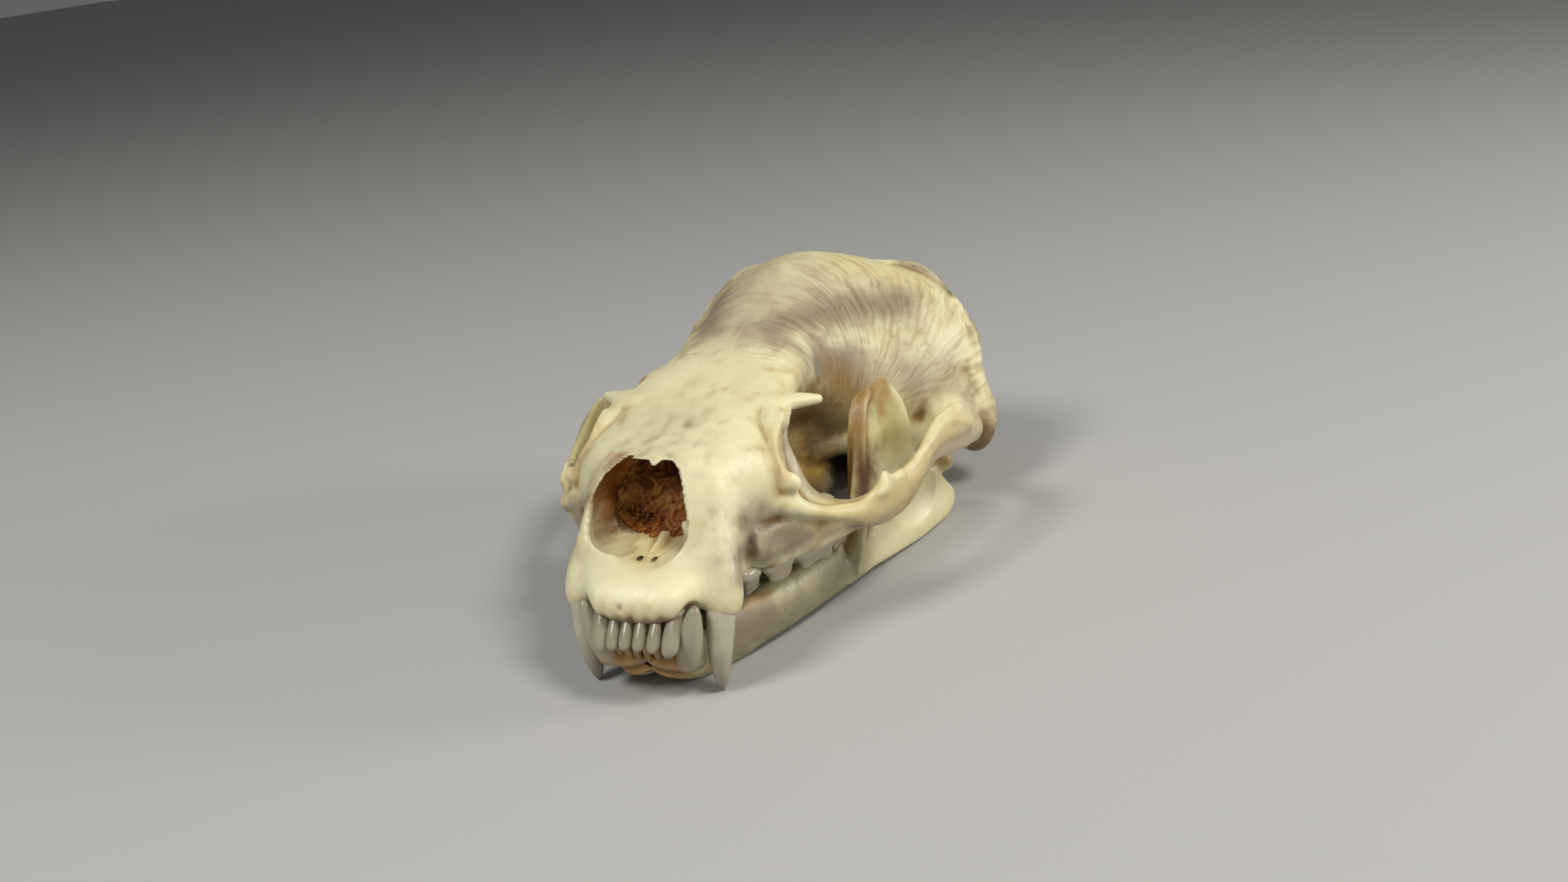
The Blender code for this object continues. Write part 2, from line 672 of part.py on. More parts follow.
def add_teeth(bone, rows, sides_used):
    teeth = []
    for row in rows:
        teeth += [tooth("tooth", row, side) for side in sides_used]
    name = bone.name
    combine(bone, teeth, "UNION", "MANIFOLD")
    bone.name = name
    return keep_largest(bone)


def settle(objects):
    """Pitches the skull on to its jaw, flattens what touches, and moves it to the origin."""
    turn = Matrix.Rotation(math.radians(-REST_PITCH), 4, "X")
    for obj in objects:
        obj.data.transform(turn)
    corners = np.array([v.co for obj in objects for v in obj.data.vertices])
    low, high = corners.min(axis=0), corners.max(axis=0)
    floor = low[2] + FLAT_DEPTH * MM
    shift = Vector((-(low[0] + high[0]) / 2, -(low[1] + high[1]) / 2, -floor))
    for obj in objects:
        bm = bmesh.new()
        bm.from_mesh(obj.data)
        if min(v.co.z for v in bm.verts) < floor:
            geom = bm.verts[:] + bm.edges[:] + bm.faces[:]
            cut = bmesh.ops.bisect_plane(
                bm, geom=geom, plane_co=(0, 0, floor), plane_no=(0, 0, -1), clear_outer=True
            )
            edges = [e for e in cut["geom_cut"] if isinstance(e, bmesh.types.BMEdge)]
            bmesh.ops.holes_fill(bm, edges=edges)
        bm.transform(Matrix.Translation(shift))
        bm.to_mesh(obj.data)
        bm.free()
    print("shift", [round(value / MM, 3) for value in shift])


def paint(obj, name, colour, roughness):
    material = bpy.data.materials.new(name)
    material.use_nodes = True
    shader = material.node_tree.nodes["Principled BSDF"]
    shader.inputs["Base Color"].default_value = (*colour, 1.0)
    shader.inputs["Roughness"].default_value = roughness
    obj.data.materials.clear()
    obj.data.materials.append(material)


def main():
    for obj in list(bpy.data.objects):
        bpy.data.objects.remove(obj, do_unlink=True)
    group = bpy.data.collections.new("otter_skull")
    bpy.context.scene.collection.children.link(group)
    cranium = build_cranium()
    nodes = part_cranium(cranium)
    nodes["face"] = cut_notches(add_teeth(nodes["face"], UPPER_TEETH, (1.0, -1.0)))
    for key, side in (("mandible_left", 1.0), ("mandible_right", -1.0)):
        dentary = build_dentary(side)
        dentary.name = key
        nodes[key] = add_teeth(dentary, LOWER_TEETH, (side,))
        nodes[key].name = key
    settle(list(nodes.values()))
    for key, obj in nodes.items():
        obj.name = key
        bpy.context.scene.collection.objects.unlink(obj)
        group.objects.link(obj)
        paint(obj, key + "_bone", (0.78, 0.70, 0.47), 0.5)


main()
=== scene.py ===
import math
from functools import partial

import bmesh
import bpy
import numpy as np
from mathutils import Matrix, Vector, noise


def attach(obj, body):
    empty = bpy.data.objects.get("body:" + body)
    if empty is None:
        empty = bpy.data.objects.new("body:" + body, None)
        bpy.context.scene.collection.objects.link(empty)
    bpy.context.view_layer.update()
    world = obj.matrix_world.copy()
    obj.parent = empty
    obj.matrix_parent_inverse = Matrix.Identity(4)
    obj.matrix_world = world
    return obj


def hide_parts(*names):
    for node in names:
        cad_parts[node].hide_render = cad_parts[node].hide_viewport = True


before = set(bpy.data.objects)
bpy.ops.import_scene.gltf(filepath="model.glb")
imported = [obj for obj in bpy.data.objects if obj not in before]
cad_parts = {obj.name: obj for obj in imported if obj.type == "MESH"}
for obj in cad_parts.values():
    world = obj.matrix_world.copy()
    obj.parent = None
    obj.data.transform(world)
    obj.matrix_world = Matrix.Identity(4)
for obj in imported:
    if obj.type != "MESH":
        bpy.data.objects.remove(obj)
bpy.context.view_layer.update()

mm = 0.001
restPitch = 3.7  # degrees, nose up, as the skull lies on its jaw
restShift = (-0.021, -53.949, 15.043)  # mm, from the skull's own frame to the row frame

# Tables are in millimetres in the skull's own frame: x to its left, y backwards
# from the front of the upper jaw, z up from the palate.

shape = {
    "coreVoxel": 0.5,  # grid of the first fusing
    "coreRounds": 48,
    "voxel": 0.36,  # grid of the finished bone
    "rounds": 14,
    "lastRounds": 3,
    "mostTriangles": 192000,
    "jawVoxel": 0.36,
    "jawRounds": 7,
}
# y, half width, top, height of the widest point, bottom, upper and lower roundness
snoutRows = (
    (-0.8, 4.6, 2.8, 0.8, -0.9, 2.4, 2.4),
    (0.4, 7.2, 4.4, 1, -1.3, 2.6, 2.4),
    (2.4, 9.4, 5.8, 1.4, -1.5, 2.7, 2.4),
    (5, 10.9, 7.6, 2, -1.4, 2.8, 2.4),
    (6.8, 11.9, 10.2, 3, -1.2, 2.9, 2.4),
    (8.8, 12.6, 14, 4.4, -0.8, 3, 2.6),
    (11.2, 13.2, 18.4, 6, -0.4, 3, 2.8),
    (14, 13.9, 21.8, 9, 0, 2.8, 2.8),
    (17, 15.6, 23.2, 12, 0, 2.5, 2.4),
    (20, 18.2, 24.2, 13.8, 0.4, 2.3, 2.1),
    (22.5, 19.6, 24.9, 14.8, 1, 2.2, 2),
    (24.5, 18.4, 25.5, 17, 2, 2.2, 1.8),
    (27, 15.4, 26.2, 20.4, 3, 2.4, 1.6),
    (31, 12.6, 27.2, 23, 3, 2.6, 1.6),
    (36, 10.6, 28, 23, 4, 2.6, 1.8),
    (44, 8.8, 29, 20, 5, 2.4, 2),
)
vaultRows = (
    (20, 12, 24.2, 19, 14, 2.8, 2),
    (26, 14, 26, 21.5, 16, 2.5, 2),
    (32, 15, 27.8, 24.2, 19, 2.5, 2),
    (38, 15.2, 29.4, 25.6, 20, 2.4, 2),
    (44, 14, 31.2, 26.2, 17, 2.1, 1.7),
    (50, 13.2, 33.2, 26, 12, 2.2, 1.5),
    (56, 13.8, 35.2, 24, 10, 2.2, 1.6),
    (62, 16.2, 37, 21, 9, 2.1, 1.9),
    (68, 19.2, 38.6, 18, 8, 1.85, 2.4),
    (74, 22.2, 40, 15.5, 6, 1.76, 2.6),
    (81, 25.2, 40.9, 14, 5, 1.68, 2.6),
    (88, 27.8, 40.9, 13, 4.5, 1.72, 2.6),
    (95, 30.8, 39.8, 13, 4.5, 1.92, 2.6),
    (100, 32, 37.8, 13, 5, 2.2, 2.6),
    (103.5, 30.4, 35.4, 13, 6, 2.3, 2.4),
    (106, 24.6, 32, 14, 6.5, 2, 2.3),
    (108, 15, 25, 14, 7.5, 2, 2.2),
    (109.2, 7, 20, 14, 9, 2, 2),
)
nasalTubeRows = (
    (24, 9.5, 22, 12, 3, 2.2, 2.4),
    (32, 8.6, 23, 12, 2.4, 2.2, 2.4),
    (40, 8.2, 24, 11, 2.2, 2.2, 2.4),
    (48, 8.2, 25, 11, 3, 2.2, 2.4),
    (56, 9, 26, 12, 4, 2.2, 2.4),
    (64, 11, 26, 13, 5, 2.2, 2.4),
)
palateRows = (
    (6, 11.5, 4, 1.5, -0.2, 2.6, 3.2),
    (12, 12.8, 8, 2, 0.2, 2.8, 3.2),
    (18, 14.6, 7, 2.8, 1.3, 2.6, 3.2),
    (24, 17.2, 5.4, 3.2, 1.7, 2.6, 3.2),
    (31, 19, 5.6, 3.2, 1.5, 2.6, 3.2),
    (38, 19.6, 6, 3.4, 1.5, 2.6, 3.2),
    (44, 17, 5.8, 3.4, 1.6, 2.4, 3),
    (48.5, 12, 5.2, 3.2, 1.4, 2.2, 2.6),
    (53, 8, 6, 4, 2.4, 2, 2.2),
)
baseRows = (
    (54, 7.6, 12, 8, 4.4, 2, 2.4),
    (62, 11, 12, 7.5, 4.4, 2, 2.4),
    (70, 17, 12, 7.6, 4, 2.2, 2.4),
    (78, 23, 12, 7.4, 3.4, 2.4, 2.6),
    (90, 26.6, 12, 7, 3, 2.6, 2.8),
    (98, 25, 14, 8, 4, 2.6, 2.6),
    (104, 15, 16, 10, 6, 2.4, 2.4),
    (107, 9, 14, 10, 7, 2.2, 2.2),
)

# x, y, z, half thickness across and half height of bars
archRows = (
    (15, 20.6, 12.5, 2.2, 3.4),
    (19.6, 22, 11.4, 1.7, 2.4),
    (22.2, 23.8, 10, 1.35, 1.5),
    (24.2, 26, 8.9, 1.3, 1.25),
    (26.4, 29.4, 7.9, 1.35, 1.4),
    (28.4, 33.6, 6.6, 1.4, 2.8),
    (30.2, 38, 6.8, 1.4, 3.9),
    (32, 42.5, 7.7, 1.45, 3.8),
    (33.4, 46.5, 9.4, 1.45, 2.7),
    (34, 51, 10.8, 1.45, 2.9),
    (34.5, 55, 12.3, 1.45, 3.7),
    (35.2, 59, 12.7, 1.5, 4.5),
    (36.2, 63, 12.7, 1.5, 4.8),
    (37, 67, 12, 1.6, 4.6),
    (37, 71, 10.8, 1.8, 3.8),
    (36.4, 75, 9, 2, 2.8),
    (34, 78, 7.6, 2.4, 2.4),
    (29, 79.5, 7.6, 2.6, 2.4),
)
archRootRows = (
    (14.6, 17, 3.6, 1.6, 2),
    (17.2, 20.4, 4, 1.7, 2.2),
    (20.2, 25, 4.4, 1.9, 2.6),
    (23.2, 29.8, 5.2, 2, 3),
    (26, 34.4, 5.8, 1.9, 3),
    (28.6, 38, 6.5, 1.9, 2.8),
    (30.4, 41, 7.2, 1.3, 2.2),
)
jugalPointRows = (
    (30.6, 38.2, 9, 1.2, 3.6),
    (30.5, 38.2, 11, 0.9, 2),
    (30.4, 38, 12.6, 0.6, 0.8),
)
postorbitalRows = (
    (10, 33.6, 25.2, 4.8, 2.2),
    (14, 34.8, 25.4, 3.6, 1.7),
    (17.2, 36.2, 25.4, 2.2, 1.2),
    (19.4, 37.2, 25.3, 1.3, 1),
    (20.8, 37.9, 25.2, 0.8, 0.8),
)
orbitRimRows = (
    (13.4, 33, 25.2, 1.6, 1.4),
    (14.8, 28.4, 24.2, 1.4, 1.1),
    (16.2, 25.2, 21.6, 0.7, 0.8),
    (18.2, 23.2, 18, 0.7, 0.8),
    (19.6, 22.4, 14.4, 0.8, 0.9),
    (20.4, 23, 11.4, 0.8, 0.9),
)
# The two edges of the thin wall at the front and floor of the orbit
orbitWallOuter = (
    (16, 32, 25),
    (15.6, 27.6, 24),
    (16.8, 25, 21),
    (18.6, 23.4, 17.6),
    (19.8, 22.8, 14.4),
    (20.8, 23.8, 11.4),
    (23.4, 26, 9.6),
    (26, 29.6, 8.6),
    (28.2, 34, 8.2),
    (29.6, 38, 8),
)
orbitWallInner = (
    (17.4, 32.6, 24.4),
    (17.6, 30, 22.8),
    (18, 28.4, 20.8),
    (18.9, 27.6, 18.4),
    (19.7, 27.8, 15.8),
    (20.2, 29.4, 13),
    (20.8, 32, 10.4),
    (21.4, 35.2, 8.2),
    (22.4, 38.8, 6.2),
    (23.8, 41, 4.8),
)
pterygoidRows = (
    (7.6, 46, 5, 1.2, 4.4),
    (7.8, 54, 3.4, 1, 5),
    (8.2, 62, 2.2, 0.9, 4.8),
    (8.6, 68, 1, 0.9, 4.4),
    (9, 74, -1.2, 0.9, 4),
    (9.8, 79, -2, 1, 3.6),
    (11, 84, -1, 1.4, 3.4),
)
nuchalCrestRows = (
    (32.6, 93, 5, 2.4, 3.4),
    (32.4, 95.4, 11, 2, 2.8),
    (31.2, 98.2, 16.6, 1.6, 2.2),
    (29.4, 100.4, 22.2, 1.4, 1.9),
    (25, 102.4, 28.2, 1.4, 1.8),
    (18, 104, 32.6, 1.3, 1.6),
    (9, 105, 34.4, 1.3, 1.5),
    (0, 105.2, 35, 1.3, 1.5),
)
# its thin ragged edge
crestEdgeRows = (
    (32.4, 97.6, 15.6, 0.7, 1),
    (31.4, 99.4, 20.8, 0.7, 1.2),
    (29.4, 100.8, 24.4, 0.6, 1),
    (25.2, 102.4, 29, 0.6, 0.9),
    (21.8, 103.4, 31.8, 0.6, 1.5),
    (18.6, 104.2, 33.4, 0.6, 1.8),
    (15, 104.8, 34.2, 0.6, 1.5),
    (8, 105.4, 35, 0.6, 0.9),
    (0, 105.6, 35.2, 0.6, 0.9),
)
canineCollarRows = (
    (12.2, 7.2, -1.4, 2.7, 3),
    (12.4, 7.8, 1, 3.1, 3.4),
    (12.3, 8.8, 4, 3, 3.2),
    (11.9, 10.6, 7.6, 2.2, 2.4),
)
canineBulgeRows = (
    (12.1, 7.4, 0, 3, 3.3),
    (12, 9, 4.6, 2.8, 3),
    (11.6, 11.6, 9.4, 2.4, 2.6),
    (11.2, 14.2, 13.4, 1.8, 2),
)

# centre, radii
lumps = (
    ((31.6, 94, 5.6), (4.8, 5.6, 7.8)),
    ((28, 90, 9), (5.4, 11, 7)),
    ((15, 83, 2.2), (8.6, 13, 6)),
    ((24.6, 97, 3.4), (4.4, 3.4, 4.6)),
    ((7.8, 106.6, 10.6), (3.6, 4, 5)),
    ((27, 80.4, 5), (7, 1.7, 3.4)),
    ((16.8, 41.5, 3.6), (3.2, 6, 3)),
)
rimKnob = ((20, 21.9, 15.6), (1.9, 1.5, 1.8))
apertureRows = (
    (0, 13.4, 20.6),
    (2.1, 14, 21.8),
    (4.6, 13, 20),
    (6, 11.1, 16.1),
    (7.1, 8.9, 11.6),
    (5.8, 7.4, 8.8),
    (3, 6.5, 7.2),
    (0, 6.2, 6.8),
)
foramenMagnum = ((0, 108.5, 15), (6.8, 10, 6.2))
# the flared scoop beside the nose, on the right side only; half thicknesses along x, y, z
noseScoopRows = (
    (-4.6, 15.8, 19.8, 2.6, 4, 1.9),
    (-6.4, 14.8, 17, 3.8, 5.4, 2.8),
    (-7.4, 13.4, 13.6, 4.2, 6.6, 3.2),
    (-7.4, 12, 10.9, 4.2, 6.6, 2.8),
    (-6.4, 10.6, 9.4, 3.6, 5.6, 2),
    (-4.4, 9.4, 8.8, 2.6, 4, 1.7),
)
# a pale flap inside of the nose, on the left
noseFlapRows = (
    (6.2, 9.6, 7.4, 1.4, 1.2),
    (6.2, 11, 9.6, 1.2, 0.9),
    (5, 12.4, 11.8, 0.9, 0.6),
)
# the wall between the arch and the tooth row
cheekWallOuter = (
    (15.2, 15.8, 9.6),
    (17.6, 18.8, 9.6),
    (20.6, 22, 9.2),
    (23.2, 25.4, 8.2),
    (25.6, 29.4, 7.4),
    (28.2, 34, 6.8),
)
cheekWallInner = (
    (14.8, 15.8, 3.8),
    (16.8, 18.2, 3.8),
    (19.2, 22, 4.2),
    (22, 26.4, 4.6),
    (25, 31.4, 5.4),
    (28, 36, 6.2),
)
canineNotch = (7, 4.4, -7, 9.8, 2.3, 2.4, 6, 6, 1.9)  # room for the lower canine

# The jaw, in the same columns
jawBodyRows = (
    (1.7, 3.4, -8.6, 2.6, 1.6),
    (3, 6, -9.6, 3.4, 3.1),
    (4.4, 10, -10.1, 3.9, 4.5),
    (7.4, 15, -9.7, 3.6, 4.8),
    (10.8, 20, -8.6, 3.2, 4.7),
    (14.8, 28, -7.4, 3, 4.7),
    (17.6, 36, -7, 2.8, 4.5),
    (19, 40.4, -7, 2.4, 4.2),
    (20.8, 45, -5.6, 2.1, 5.4),
    (23, 52, -3.6, 1.8, 7),
    (25.2, 60, -3.2, 1.6, 7.6),
    (27.2, 67, -3.6, 1.6, 7.2),
    (28.4, 73, -5, 1.6, 5.6),
    (29, 78, -6.6, 1.7, 3.6),
    (29.2, 81.6, -7, 1.1, 1.8),
)
# x, y, z, half thickness, half length, and how far the rear edge leans outwards
coronoidRows = (
    (23.2, 57.4, -7, 1.6, 11, 0.05),
    (23.6, 56.6, -3, 1.5, 13, 0.08),
    (24, 55.9, 3.5, 1.4, 14.4, 0.10),
    (24.2, 56.4, 9, 1.3, 12.4, 0.14),
    (24.2, 57, 14, 1.2, 10.2, 0.18),
    (24, 57.2, 18, 1.1, 8, 0.20),
    (23.8, 57.6, 20.4, 1, 5.6, 0.20),
    (23.6, 59, 22, 0.9, 2.8, 0.20),
    (23.5, 60.2, 22.9, 0.6, 0.9, 0.20),
)
chinLump = ((3.2, 4.4, -8.8), (3.9, 2.5, 2.9))
ramusRidgeRows = (
    (18.6, 40, -8.4, 1.6, 2.4),
    (21, 43.4, -5.6, 1.6, 2.2),
    (22.8, 44.2, -1.6, 1.4, 1.8),
    (23.6, 43, 2.6, 1.2, 1.4),
)
coronoidFrontRows = (
    (22.9, 55, 22, 0.9, 0.6),
    (22.5, 51.2, 20.6, 1.8, 0.6),
    (22.4, 48.4, 15, 1.9, 0.6),
    (22.3, 46.7, 8, 1.7, 0.6),
    (22.4, 45.6, 2, 1.5, 0.7),
    (22, 44.6, -3, 1.4, 1),
)
condyleNeckRows = (
    (27.6, 69.6, -2.6, 1.6, 4),
    (28, 74, 0.4, 1.9, 2.6),
)
condyleRows = (
    (22.8, 74.6, 1.4, 1.2, 1.4),
    (24.6, 75, 1.7, 2, 2.1),
    (28, 75.4, 2, 2.2, 2.3),
    (30.6, 75.4, 2, 1.8, 1.9),
    (31.8, 75.2, 2, 1, 1.2),
)
masseterCut = ((31.2, 58, 1), (5.8, 14.5, 11))

# Front teeth: root x, y, z, tip x, y, z, width, depth, bluntness (1 cone, 2.5 block),
# and for an incisor how narrow its neck is
upperTeeth = (
    (1.2, 1.8, 0.8, 1.2, -1.8, -4.9, 2.5, 2.5, 4.4, 0.56),
    (3.7, 2.2, 0.8, 3.5, -1.5, -5.2, 2.7, 2.7, 4, 0.56),
    (6.6, 2.8, 0.8, 5.8, -0.6, -6.2, 3.7, 3.4, 3, 0.68),
    (12.4, 7.8, 2.4, 11.2, 6.4, -14.3, 4.9, 5.6, 1.4),
)
lowerTeeth = (
    (0.9, 2.8, -8.6, 0.9, 1, -4, 1.4, 2, 2.4, 0.8),
    (2.5, 3.2, -8.6, 2.6, 1.2, -3.6, 1.6, 2.2, 2.4, 0.8),
    (4.3, 3.6, -8.6, 4.4, 1.6, -3.6, 1.8, 2.4, 2.2, 0.8),
    (6.8, 4.6, -9.8, 9.8, 2.3, 1.6, 4.8, 4.8, 1.5),
)
# Cheek teeth: x, y, root z, tip z, width, length, number of cusps, cusp height,
# lean outwards, turn in degrees
upperCheekTeeth = (
    (11.5, 12.5, 2, -1.1, 1.7, 2.3, 1, 0.3, 0, 0),
    (13.4, 16.3, 2.6, -0.8, 2.6, 5.2, 1, 0.4, 0.4, 16),
    (16, 22, 3, -1.5, 3.2, 8, 1, 0.8, 0.7, 20),
    (19.4, 30, 3, -1.3, 3.4, 11.6, 2, 0.5, 0.9, 20),
    (14.4, 28.6, 2.4, -1.6, 5.4, 6, 1, 0.5, 0, 0),
    (20.8, 38, 3, -1.3, 3.4, 7.4, 2, 0.3, 0.6, 6),
    (15, 37.4, 2.4, -1.6, 7, 6.4, 2, 0.5, 0, 0),
)
lowerCheekTeeth = (
    (7.8, 12, -6.4, -2.8, 1.9, 3.4, 1, 1, 0, 16),
    (9.3, 16.4, -6.6, -2.6, 2.3, 4.6, 1, 1.3, 0, 16),
    (10.8, 21.8, -6.4, -2.2, 2.6, 6, 1, 1.5, 0, 20),
    (12.8, 30, -6.2, -2.2, 2.9, 10.4, 3, 1.1, 0, 20),
    (15.8, 38.6, -6, -2.8, 2.8, 4.4, 2, 0.5, 0, 20),
)
incisiveForamen = ((1.3, 7.4, 6), (0.75, 1.1, 1.6))
vomerRows = (
    (0, 7.2, 6.6, 0.7, 0.7),
    (0, 9, 7, 0.5, 0.9),
    (0, 12, 7.6, 0.6, 1),
    (0, 15, 8.2, 1.2, 1.1),
)


def interpolate(rows, count):
    # resampled evenly by running length, smoothly and without overshoot
    rows = np.array(rows, float)
    steps = np.linalg.norm(np.diff(rows[:, :3], axis=0), axis=1)
    at = np.concatenate([[0.0], np.cumsum(np.maximum(steps, 1e-6))])
    slope = np.diff(rows, axis=0) / np.diff(at)[:, None]
    tangent = np.zeros_like(rows)
    tangent[0], tangent[-1] = slope[0], slope[-1]
    same = slope[:-1] * slope[1:] > 0
    product = 2 * slope[:-1] * slope[1:]
    total = np.where(same, slope[:-1] + slope[1:], 1.0)
    tangent[1:-1] = np.where(same, product / total, 0.0)
    wanted = np.linspace(0, at[-1], count)
    index = np.clip(np.searchsorted(at, wanted, side="right") - 1, 0, len(at) - 2)
    span = np.diff(at)[index]
    t = ((wanted - at[index]) / span)[:, None]
    span = span[:, None]
    start, end = rows[index], rows[index + 1]
    return (
        (2 * t**3 - 3 * t**2 + 1) * start
        + (t**3 - 2 * t**2 + t) * span * tangent[index]
        + (3 * t**2 - 2 * t**3) * end
        + (t**3 - t**2) * span * tangent[index + 1]
    )


def power(value, exponent):
    return math.copysign(abs(value) ** exponent, value)


def newObject(name, bm):
    bmesh.ops.recalc_face_normals(bm, faces=bm.faces)
    mesh = bpy.data.meshes.new(name)
    bm.to_mesh(mesh)
    bm.free()
    obj = bpy.data.objects.new(name, mesh)
    bpy.context.scene.collection.objects.link(obj)
    return obj


def loft(name, rings, sides):
    # a capped circle is pulled from ring to ring; each ring turns an angle into a point
    bm = bmesh.new()
    around = bm.verts.layers.float.new("around")
    verts = bmesh.ops.create_circle(bm, cap_ends=True, segments=sides, radius=1.0)["verts"]
    for vert in verts:
        vert[around] = math.atan2(vert.co.y, vert.co.x)
    edges = bm.edges[:]
    for n, ring in enumerate(rings):
        if n:
            made = bmesh.ops.extrude_edge_only(bm, edges=edges)["geom"]
            verts = [item for item in made if isinstance(item, bmesh.types.BMVert)]
            fresh = set(verts)
            edges = [
                item
                for item in made
                if isinstance(item, bmesh.types.BMEdge) and fresh.issuperset(item.verts)
            ]
        for vert in verts:
            vert.co = Vector(ring(vert[around])) * mm
    bmesh.ops.contextual_create(bm, geom=edges)
    return newObject(name, bm)


def bodyRing(row, angle):
    y, half, top, middle, bottom, upper, lower = row
    across, along = math.cos(angle), math.sin(angle)
    bend = 2 / (upper if along > 0 else lower)
    reach = top - middle if along > 0 else middle - bottom
    return half * power(across, bend), y, middle + reach * power(along, bend)


def body(name, rows, rings=60, sides=72):
    # symmetric, lofted along y
    return loft(name, [partial(bodyRing, row) for row in interpolate(rows, rings)], sides)


def barRing(middle, across, up, fullness, angle):
    return (
        middle
        + across * power(math.cos(angle), 2 / fullness)
        + up * power(math.sin(angle), 2 / fullness)
    )


def bar(name, rows, side=1.0, rings=40, sides=26, fullness=2.3):
    # a bar along a path, its section upright
    path = interpolate(rows, rings)
    points = [Vector((side * row[0], row[1], row[2])) for row in path]
    sections = []
    for i, row in enumerate(path):
        ahead = points[min(i + 1, rings - 1)] - points[max(i - 1, 0)]
        up = Vector((0, 1, 0)) if abs(ahead.normalized().z) > 0.75 else Vector((0, 0, 1))
        across = ahead.cross(up).normalized()
        up = across.cross(ahead).normalized()
        sections.append(partial(barRing, points[i], across * row[3], up * row[4], fullness))
    return loft(name, sections, sides)


def sheet(name, outer, inner, side=1.0, half=0.6, rings=40, sides=18):
    # a thin wall between two edges
    first, second = interpolate(outer, rings), interpolate(inner, rings)
    mirror = Matrix.Diagonal((side, 1.0, 1.0))
    firsts, seconds = [mirror @ Vector(p) for p in first], [mirror @ Vector(p) for p in second]
    middles = [(a + b) / 2 for a, b in zip(firsts, seconds)]
    sections = []
    for i in range(rings):
        ahead = middles[min(i + 1, rings - 1)] - middles[max(i - 1, 0)]
        reach = (seconds[i] - firsts[i]) / 2
        out = ahead.cross(reach).normalized() * half
        sections.append(partial(barRing, middles[i], reach, out, 2.0))
    return loft(name, sections, sides)


def plateRing(row, side, fullness, angle):
    a = power(math.cos(angle), 2 / fullness) * row[3]
    b = power(math.sin(angle), 2 / fullness) * row[4]
    return side * (row[0] + a + row[5] * b), row[1] + b, row[2]


def plate(name, rows, side=1.0, rings=36, sides=36, fullness=2.2):
    # stands up: half thickness along x, half length along y
    sections = [partial(plateRing, row, side, fullness) for row in interpolate(rows, rings)]
    return loft(name, sections, sides)


def lump(name, centre, radii, side=1.0):
    bm = bmesh.new()
    bmesh.ops.create_icosphere(bm, subdivisions=4, radius=1.0)
    bmesh.ops.scale(bm, vec=Vector(radii) * mm, verts=bm.verts)
    place = Vector((side * centre[0], centre[1], centre[2])) * mm
    bmesh.ops.translate(bm, vec=place, verts=bm.verts)
    return newObject(name, bm)


def scoop(name, rows, count=16):
    # overlapping lumps along a path, to cut a soft trench
    return [lump(name, row[:3], row[3:]) for row in interpolate(rows, count)]


def discard(objects):
    for obj in objects:
        bpy.data.objects.remove(obj, do_unlink=True)


def bake(obj):
    # applies the modifiers
    bpy.context.view_layer.update()
    graph = bpy.context.evaluated_depsgraph_get()
    mesh = bpy.data.meshes.new_from_object(obj.evaluated_get(graph))
    obj.modifiers.clear()
    obj.data = mesh


def join(name, pieces):
    bm = bmesh.new()
    for piece in pieces:
        bm.from_mesh(piece.data)
    discard(pieces)
    mesh = bpy.data.meshes.new(name)
    bm.to_mesh(mesh)
    bm.free()
    obj = bpy.data.objects.new(name, mesh)
    bpy.context.scene.collection.objects.link(obj)
    return obj


def fuse(name, pieces, voxel, rounds):
    # one skin round overlapping pieces, with soft inner corners
    obj = join(name, pieces)
    grid = obj.modifiers.new("grid", "REMESH")
    grid.mode = "VOXEL"
    grid.voxel_size = voxel * mm
    soft = obj.modifiers.new("soft", "SMOOTH")
    soft.factor = 0.5
    soft.iterations = rounds
    bake(obj)
    return obj


def carve(obj, cutters):
    # all of the cutters are taken away at once
    group = bpy.data.collections.new("cutters")
    for cutter in cutters:
        group.objects.link(cutter)
    step = obj.modifiers.new("step", "BOOLEAN")
    step.operation = "DIFFERENCE"
    step.operand_type = "COLLECTION"
    step.collection = group
    step.solver = "MANIFOLD"
    bake(obj)
    discard(cutters)
    bpy.data.collections.remove(group)


def pair(make, name, rows, **more):
    return [make(name, rows, side=side, **more) for side in (1.0, -1.0)]


def toothRing(middle, across, along, angle):
    return middle + across * math.cos(angle) + along * math.sin(angle)


def tooth(name, row, side=1.0, rings=18, sides=28):
    # a crown with its root: it swells past the gum and closes to a blunt tip
    root = Vector((side * row[0], row[1], row[2]))
    tip = Vector((side * row[3], row[4], row[5]))
    width, depth, block = row[6:9]
    neck = row[9] if len(row) > 9 else 1.0
    bow = Vector((0, -0.06, 0)) * (tip - root).length
    sections = []
    for i in range(rings):
        t = math.sin(math.pi / 2 * i / (rings - 1))
        size = max(0.02, (1 - t ** (1.3 * block))) ** 0.45
        size *= neck + (1 - neck) * min(1.0, 1.2 * t) ** 1.5
        middle = root.lerp(tip, t) + bow * math.sin(math.pi * t)
        across, along = Vector((width / 2 * size, 0, 0)), Vector((0, depth / 2 * size, 0))
        sections.append(partial(toothRing, middle, across, along))
    return loft(name, sections, sides)


def crownRing(row, t, angle):
    # a blade with cusps along its edge
    x, y, top, tip, width, length, cusps, rise, lean, turn = row
    turn = math.radians(turn)
    swell = 0.78 + 0.22 * math.sin(math.pi * min(1.0, 1.6 * t))
    across = swell * (1 - 0.82 * t**3) * power(math.cos(angle), 0.8)
    along = swell * (1 - 0.22 * t**4) * power(math.sin(angle), 0.8)
    wave = 0.5 - 0.5 * math.cos(math.pi * cusps * (along + 1))
    drop = t * (top - tip) - rise * (1 - wave) * t**2
    out, back = width / 2 * across + lean * t, length / 2 * along
    return (
        x + out * math.cos(turn) + back * math.sin(turn),
        y + back * math.cos(turn) - out * math.sin(turn),
        top - drop,
    )


